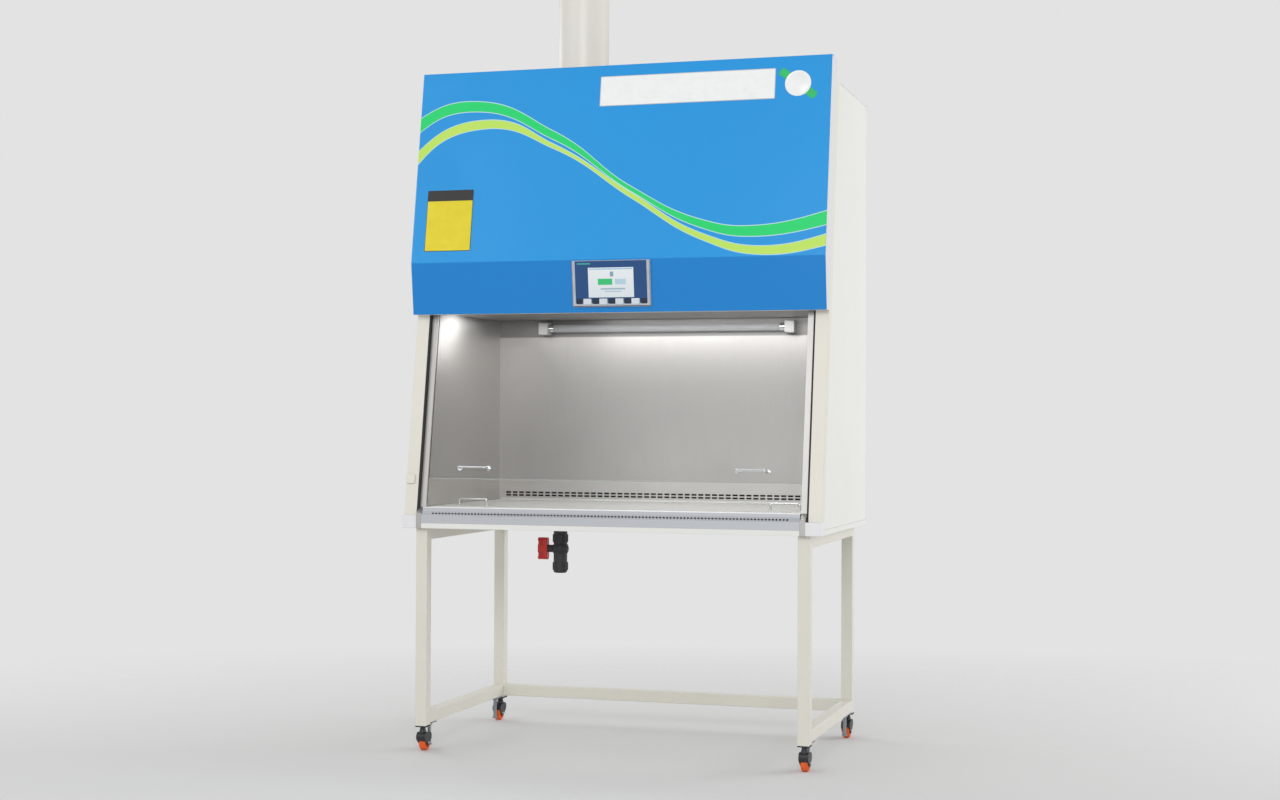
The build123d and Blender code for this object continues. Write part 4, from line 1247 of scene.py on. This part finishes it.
@dataclass
class Housing:
    """The painted outer shell: sides, back, roof, posts and feet."""

    screw_pitch: float = 0.22
    screw_inset: float = 0.018
    head_radius: float = 0.0042
    head_height: float = 0.003
    washer_radius: float = 0.0065
    flush_depth: float = 0.00285
    roof_depth: float = 0.0008
    roof_front: float = 0.12
    roof_counts: tuple = (7, 3)

    def build(self) -> None:
        """Coat the shell and put in its screws."""
        coat(Finishes.post, "posts", "post_catch")
        coat(Finishes.rear, "rear_panel")
        coat(Finishes.cabinet, "side_panel_right", "side_panel_left", "roof_panel", "plenum_front")
        coat(Finishes.foot, "post_feet")
        coat(Finishes.rubber, "sash_gaskets")
        self.rear_screws()
        self.roof_screws()

    def screws(self, name: str, spots: Sequence[tuple], turn: tuple) -> None:
        """Put in one set of screws.

        Args:
            name: The set's name.
            spots: Their places.
            turn: Their rotation.
        """
        made = FASTENERS.make(
            name, spots, Finishes.zinc, Head_Radius=self.head_radius, Head_Height=self.head_height,
            Sides=HeadShape.ROUND.value, Washer_Radius=self.washer_radius, Turn=turn)
        dress(made, "cabinet")

    def rear_screws(self) -> None:
        """Screws around the rear panel's edge."""
        low, high, _ = box_of("rear_panel")
        y = high.y - self.flush_depth
        left, right = low.x + self.screw_inset, high.x - self.screw_inset
        bottom, top = low.z + self.screw_inset, high.z - self.screw_inset
        across = row(left, right, round((right - left) / self.screw_pitch) + 1)
        upright = row(bottom, top, round((top - bottom) / self.screw_pitch) + 1)
        spots = [(x, y, z) for x in across for z in (bottom, top)]
        spots += [(x, y, z) for z in upright[1:-1] for x in (left, right)]
        self.screws("rear_screws", spots, (-math.pi / 2, 0.0, 0.0))

    def roof_screws(self) -> None:
        """Screws along the roof's back and side edges."""
        low, high, _ = box_of("roof_panel")
        z = high.z - self.roof_depth
        left, right = low.x + self.screw_inset, high.x - self.screw_inset
        back, front = high.y - self.screw_inset, low.y + self.roof_front
        across, along = self.roof_counts
        spots = [(x, back, z) for x in row(left, right, across)]
        spots += [(x, y, z) for y in row(front, back, along)[:-1] for x in (left, right)]
        self.screws("roof_screws", spots, FLAT)


@dataclass
class Exhaust:
    """The duct stub and its collar on the roof."""

    band_height: float = 0.012
    band_thickness: float = 0.0016
    band_bevel: float = 0.0008
    band_sides: int = 72
    band_drop: float = 0.022
    sleeve: float = 0.0024
    seam_width: float = 0.010
    seam_thickness: float = 0.0016
    seam_corner: float = 0.002
    seam_bevel: float = 0.0006
    seam_sunk: float = 0.0004
    seam_gaps: tuple = (0.004, 0.002)

    def build(self) -> None:
        """Coat the duct and add its clamp band and seam."""
        coat(Finishes.duct, "exhaust_duct", "duct_collar")
        low, high, centre = box_of("exhaust_duct")
        _, collar_high, _ = box_of("duct_collar")
        radius = (high.x - low.x) / 2
        self.band(centre, radius + self.sleeve, collar_high.z - self.band_drop)
        below, above = self.seam_gaps
        self.seam(centre, radius, collar_high.z + below, high.z - above)

    def band(self, centre: Vector, radius: float, z: float) -> None:
        """A worm-drive band round the collar's sleeve.

        Args:
            centre: The duct's axis.
            radius: The sleeve's radius.
            z: The band's lower edge.
        """
        thick, tall, bevel = self.band_thickness, self.band_height, self.band_bevel
        outer = radius + thick
        section = ((radius, 0.0), (outer, bevel), (outer, tall - bevel), (radius, tall))
        shape = bmesh.new()
        loop = []
        for k in range(self.band_sides):
            angle = 2 * math.pi * k / self.band_sides
            loop.append([
                shape.verts.new((r * math.cos(angle), r * math.sin(angle), height))
                for r, height in section
            ])
        for this, other in zip(loop, loop[1:] + loop[:1]):
            for j in range(len(section)):
                n = (j + 1) % len(section)
                shape.faces.new((this[j], other[j], other[n], this[n]))
        bmesh.ops.recalc_face_normals(shape, faces=shape.faces)
        piece = finish_mesh("duct_band", shape, Matrix.Translation((centre.x, centre.y, z)), Finishes.zinc)
        dress(piece, "cabinet")

    def seam(self, centre: Vector, radius: float, low: float, high: float) -> None:
        """The duct's folded lock seam, at its back.

        Args:
            centre: The duct's axis.
            radius: The duct's radius.
            low: The seam's lower end.
            high: Its upper end.
        """
        shape = plate_shape(self.seam_width, high - low, self.seam_corner, self.seam_thickness, self.seam_bevel)
        up, out = Vector((0.0, 0.0, 1.0)), Vector((0.0, 1.0, 0.0))
        place = Matrix((up.cross(out), up, out)).transposed().to_4x4()
        place.translation = (centre.x, centre.y + radius - self.seam_sunk, (low + high) / 2)
        dress(finish_mesh("duct_seam", shape, place, Finishes.duct), "cabinet")


@dataclass
class WorkChamber:
    """The stainless chamber, its tray, the front sill and the lamp."""

    ferrule: tuple = ((0.0004, 0.0), (0.0006, 0.001), (0.0006, 0.017), (0.0001, 0.0185))
    ferrule_sides: int = 40
    ferrule_inset: float = 0.0003

    def build(self) -> None:
        """Coat the chamber and dress the lamp."""
        coat(Finishes.sill, "front_sill")
        coat(Finishes.sheet_z, "sill_ends", "side_liners", "sash_guides")
        coat(Finishes.liner, "back_liner")
        coat(Finishes.diffuser, "ceiling_diffuser")
        coat(Finishes.tray, "work_tray")
        coat(Finishes.polished, "tray_handles")
        coat(Finishes.white, "lamp_holders")
        coat(Finishes.tube, "lamp_tube")
        self.lamp_ends()

    def lamp_ends(self) -> None:
        """The ferrules at both ends of the tube."""
        low, high, centre = box_of("lamp_tube")
        radius = (high.z - low.z) / 2
        rings = [(radius + proud, along) for proud, along in self.ferrule]
        profile = [(0.0, rings[0][1]), *rings, (0.0, rings[-1][1])]
        for side, x, way in (("left", low.x, 1.0), ("right", high.x, -1.0)):
            place = facing((way, 0.0, 0.0), (x + way * self.ferrule_inset, centre.y, centre.z))
            shape = turned_shape(profile, self.ferrule_sides)
            dress(finish_mesh(f"lamp_ferrule_{side}", shape, place, Finishes.polished), "cabinet")


@dataclass
class Sash:
    """The sliding glass with its rail and handles."""

    edge_height: float = 0.0022
    edge_rise: float = 0.0059
    edge_inset: float = 0.022
    edge_depth: float = 0.0243
    edge_thickness: float = 0.0066
    edge_corner: float = 0.0005
    edge_bevel: float = 0.0003

    def build(self) -> None:
        """Coat the sash and add its polished lower edge."""
        coat(Finishes.sash, "sash_glass")
        coat(Finishes.sheet_x, "sash_top_rail")
        coat(Finishes.polished, "sash_handles")
        low, high, _ = box_of("sash_glass")
        width = high.x - low.x - self.edge_inset
        shape = plate_shape(width, self.edge_height, self.edge_corner, self.edge_thickness, self.edge_bevel)
        place = SASH_FACE.frame_at(0.0, low.z, -self.edge_depth)
        place = place @ Matrix.Translation((0.0, self.edge_rise - self.edge_height / 2, 0.0))
        dress(finish_mesh("sash_edge", shape, place, Finishes.edge), "sash")

@dataclass
class Canopy:
    """The blue front panel, its plates and the hood behind it."""

    plate_thickness: float = 0.0012
    plate_span: tuple = (-0.067, 0.500)
    plate_rise: tuple = (2.045, 2.142)
    disc_place: tuple = (0.571, 2.091)
    disc_radius: float = 0.041
    side_plate_span: tuple = (-0.632, -0.475)
    side_plate_rise: tuple = (1.592, 1.790)
    header_height: float = 0.035
    plate_corner: float = 0.003
    face_corner: float = 0.002
    face_out: float = 0.0004
    bevel: float = 0.0003
    long_inset: float = 0.0022
    side_inset: float = 0.0014
    disc_sides: int = 64
    ribbon: tuple = (0.142, 0.026)
    ribbon_corner: float = 0.002
    ribbon_share: float = 0.6
    ribbon_bevel: float = 0.0002
    ribbon_notch: float = 0.55
    ribbon_turn: float = math.radians(-38.0)
    rim: tuple = (
        (0.0, 0.0), (0.0006, 0.0005), (0.004, 0.0005), (0.0046, 0.0002), (0.0075, 0.0002), (0.0081, 0.0005))

    def build(self) -> None:
        """Coat the canopy and fix its plates."""
        coat(Finishes.blue, "front_panel")
        coat(Finishes.cheek, "hood_sides", "hood_top_plate", "hood_bottom_plate")
        coat(Finishes.zinc, "panel_hinges", "hinge_leaves")
        self.name_plate()
        self.disc()
        self.side_plate()

    def plate(self, name: str, span: tuple, rise: tuple, corner: float, out: float, finish: Finish) -> None:
        """A plate on the canopy's tall face.

        Args:
            name: The piece's name.
            span: Left and right edge.
            rise: Lower and upper edge.
            corner: Corner radius.
            out: How far its back stands from the face.
            finish: Its finish.
        """
        width = span[1] - span[0]
        height = (rise[1] - rise[0]) / math.cos(LEAN)
        shape = plate_shape(width, height, corner, self.plate_thickness, self.bevel)
        place = CANOPY_FACE.frame_at(sum(span) / 2, sum(rise) / 2, out)
        dress(finish_mesh(name, shape, place, finish), "front_panel")

    def name_plate(self) -> None:
        """The bare white plate with a thin grey border."""
        (left, right), (low, high) = self.plate_span, self.plate_rise
        gap = self.long_inset
        self.plate("long_plate", (left, right), (low, high), self.plate_corner, 0.0, Finishes.plate_grey)
        self.plate("long_plate_face", (left + gap, right - gap), (low + gap, high - gap), self.face_corner,
                   self.face_out, Finishes.plate_white)

    def disc(self) -> None:
        """The bare round plate on a plain ribbon."""
        radius, thick = self.disc_radius, self.plate_thickness
        place = CANOPY_FACE.frame_at(*self.disc_place, 0.0)
        width, height = self.ribbon
        ribbon = plate_shape(width, height, self.ribbon_corner, thick * self.ribbon_share, self.ribbon_bevel)
        for vert in ribbon.verts:
            if abs(vert.co.x) > width / 2 - self.ribbon_corner:
                vert.co.y *= self.ribbon_notch
        turned = place @ Matrix.Rotation(self.ribbon_turn, 4, "Z")
        tails = finish_mesh("round_plate_ribbon", ribbon, turned, Finishes.plate_green)
        dress(tails, "front_panel")
        steps = [(radius - inward, thick + raised) for inward, raised in self.rim]
        profile = [(0.0, 0.0), (radius, 0.0), *steps, (0.0, steps[-1][1])]
        disc = turned_shape(profile, self.disc_sides)
        dress(finish_mesh("round_plate", disc, place, Finishes.plate_white), "front_panel")

    def side_plate(self) -> None:
        """The plain yellow plate with its black header and border."""
        (left, right), (low, high) = self.side_plate_span, self.side_plate_rise
        gap = self.side_inset
        self.plate("side_plate", (left, right), (low, high), self.plate_corner, 0.0, Finishes.plate_black)
        self.plate("side_plate_face", (left + gap, right - gap), (low + gap, high - self.header_height),
                   self.face_corner, self.face_out, Finishes.plate_yellow)


@dataclass
class TouchPanel:
    """The control panel in the canopy's lower band."""

    key_count: int = 4

    def build(self) -> None:
        """Coat the panel, its screen and its keys."""
        coat(Finishes.face, "hmi_housing")
        coat(Finishes.screen, "hmi_screen")
        coat(Finishes.keys, *(f"hmi_key_{number}" for number in range(1, self.key_count + 1)))


@dataclass
class AirSystem:
    """The filters and the blower above the chamber."""

    def build(self) -> None:
        """Coat the filters and the blower."""
        coat(Finishes.media, "hepa_filters")
        coat(Finishes.blower, "blower_housing", "blower_impeller")


# ------------------------------------------------------------------ studio
@dataclass(frozen=True)
class Lamp:
    """One area lamp: its place, what it points at, its two sides and its power in watts."""

    name: str
    place: tuple
    target: tuple
    sides: tuple
    power: float

    def build(self) -> None:
        """Hang the lamp."""
        data = bpy.data.lights.new(self.name, "AREA")
        data.energy = self.power
        data.shape = "RECTANGLE"
        data.size, data.size_y = self.sides
        lamp = new_piece(self.name, data)
        direction = Vector(self.target) - Vector(self.place)
        lamp.rotation_euler = direction.to_track_quat("-Z", "Y").to_euler()
        lamp.location = self.place
        lamp.visible_camera = False


STUDIO_LAMPS = (
    Lamp("front", (1.4, -6.4, 3.2), (0.0, 0.0, 1.3), (3.0, 2.0), 129.0),
    Lamp("front_left", (-3.4, -4.4, 3.2), (0.0, 0.0, 1.2), (3.0, 3.0), 32.0),
    Lamp("side_right", (4.4, 2.2, 1.7), (0.6, 0.0, 1.1), (2.5, 2.5), 82.0),
    Lamp("side_left", (-4.4, 2.2, 2.2), (-0.6, 0.0, 1.4), (2.5, 2.5), 40.0),
    Lamp("chamber_back", (0.12, 0.13, 1.386), (0.12, 0.32, 1.06), (0.8, 0.06), 0.95),
    Lamp("chamber_low", (0.12, -0.2, 0.93), (0.12, 0.33, 0.87), (1.0, 0.06), 0.25),
    Lamp("chamber_down", (0.0, 0.04, 1.393), (0.0, 0.04, 0.78), (1.1, 0.3), 4.8),
    Lamp("chamber_side", (-0.53, -0.02, 1.384), (-0.61, -0.02, 1.33), (0.04, 0.3), 0.6),
)


@dataclass
class Studio:
    """The floor, the lamps, the background and the camera."""

    camera_place: tuple = (1.8348, -6.0903, 1.0495)
    camera_yaw: float = -0.2929
    camera_pitch: float = 0.0112
    camera_roll: float = 0.0042
    focal_pixels: float = 1949.77
    image_width: float = 1280.0
    sensor: float = 36.0
    clip_end: float = 200.0
    ground: tuple = srgb("DADADA")
    floor_reach: float = 14.0
    floor_roughness: float = 0.75
    fade_from_eye: tuple = (6.4, 9.2)
    fade_from_centre: tuple = (2.4, 5.6)
    ambient: float = 0.59
    backdrop: tuple = srgb("E3E3E3")

    def build(self) -> None:
        """Set up everything around the object."""
        bpy.context.scene.view_settings.view_transform = "Standard"
        self.camera()
        self.floor()
        self.world()
        self.lights()

    def camera(self) -> None:
        """The camera."""
        data = bpy.data.cameras.new("camera")
        data.sensor_width = self.sensor
        data.lens = self.focal_pixels * self.sensor / self.image_width
        data.clip_end = self.clip_end
        camera = new_piece("camera", data)
        yaw, pitch, roll = self.camera_yaw, self.camera_pitch, self.camera_roll
        level = math.cos(pitch)
        forward = Vector((math.sin(yaw) * level, math.cos(yaw) * level, math.sin(pitch)))
        right = Vector((math.cos(yaw), -math.sin(yaw), 0.0))
        up = right.cross(forward)
        rolled_right = right * math.cos(roll) + up * math.sin(roll)
        rolled_up = up * math.cos(roll) - right * math.sin(roll)
        matrix = Matrix((rolled_right, rolled_up, -forward)).transposed().to_4x4()
        matrix.translation = Vector(self.camera_place)
        camera.matrix_world = matrix

        bpy.context.scene.camera = camera

    def floor(self) -> None:
        """A pale floor that fades into the background."""
        mesh = bpy.data.meshes.new("floor")
        reach = self.floor_reach
        mesh.from_pydata([(-reach, -reach, 0), (reach, -reach, 0), (reach, reach, 0), (-reach, reach, 0)],
                         [], [(0, 1, 2, 3)])
        material = bpy.data.materials.new("floor_surface")
        material.use_nodes = True
        w = NodeWriter(material.node_tree)
        eye = (*self.camera_place[:2], 0.0)
        behind = w.ramp(w.vector("DISTANCE", w.place(), eye).outputs["Value"], *self.fade_from_eye, 1.0, 0.0)
        edge = w.ramp(w.vector("LENGTH", w.place()).outputs["Value"], *self.fade_from_centre, 1.0, 0.0)
        w.fill(material.node_tree.nodes["Principled BSDF"], Base_Color=self.ground, Roughness=self.floor_roughness,
               Alpha=w.math("MINIMUM", behind, edge))
        mesh.materials.append(material)
        new_piece("floor", mesh)

    def world(self) -> None:
        """A soft even light, with a pale grey ground behind everything."""
        world = bpy.data.worlds.new("studio")
        bpy.context.scene.world = world
        world.use_nodes = True
        w = NodeWriter(world.node_tree)
        light = w.fill(world.node_tree.nodes["Background"], Color=(1.0, 1.0, 1.0, 1.0), Strength=self.ambient)
        seen = w.node("ShaderNodeBackground", {"Color": self.backdrop})
        path = w.node("ShaderNodeLightPath").outputs
        direct = w.math("MAXIMUM", path["Is Camera Ray"], path["Is Transmission Ray"])
        direct = w.math("MAXIMUM", direct, path["Is Glossy Ray"])
        blend = w.node("ShaderNodeMixShader", {0: direct, 1: light.outputs[0], 2: seen.outputs[0]})
        w.fill(world.node_tree.nodes["World Output"], Surface=blend.outputs[0])

    def lights(self) -> None:
        """Every lamp of the studio."""
        for lamp in STUDIO_LAMPS:
            lamp.build()


def main() -> None:
    """Build every sub-assembly in order, then the studio."""
    logging.basicConfig(level=logging.INFO, format="%(name)s: %(message)s")
    for assembly in (Stand(), Base(), Housing(), Exhaust(), WorkChamber(), Sash(), Canopy(), TouchPanel(),
                     AirSystem()):
        log.info("building %s", type(assembly).__name__)
        assembly.build()
    Studio().build()


if __name__ == "__main__":
    main()
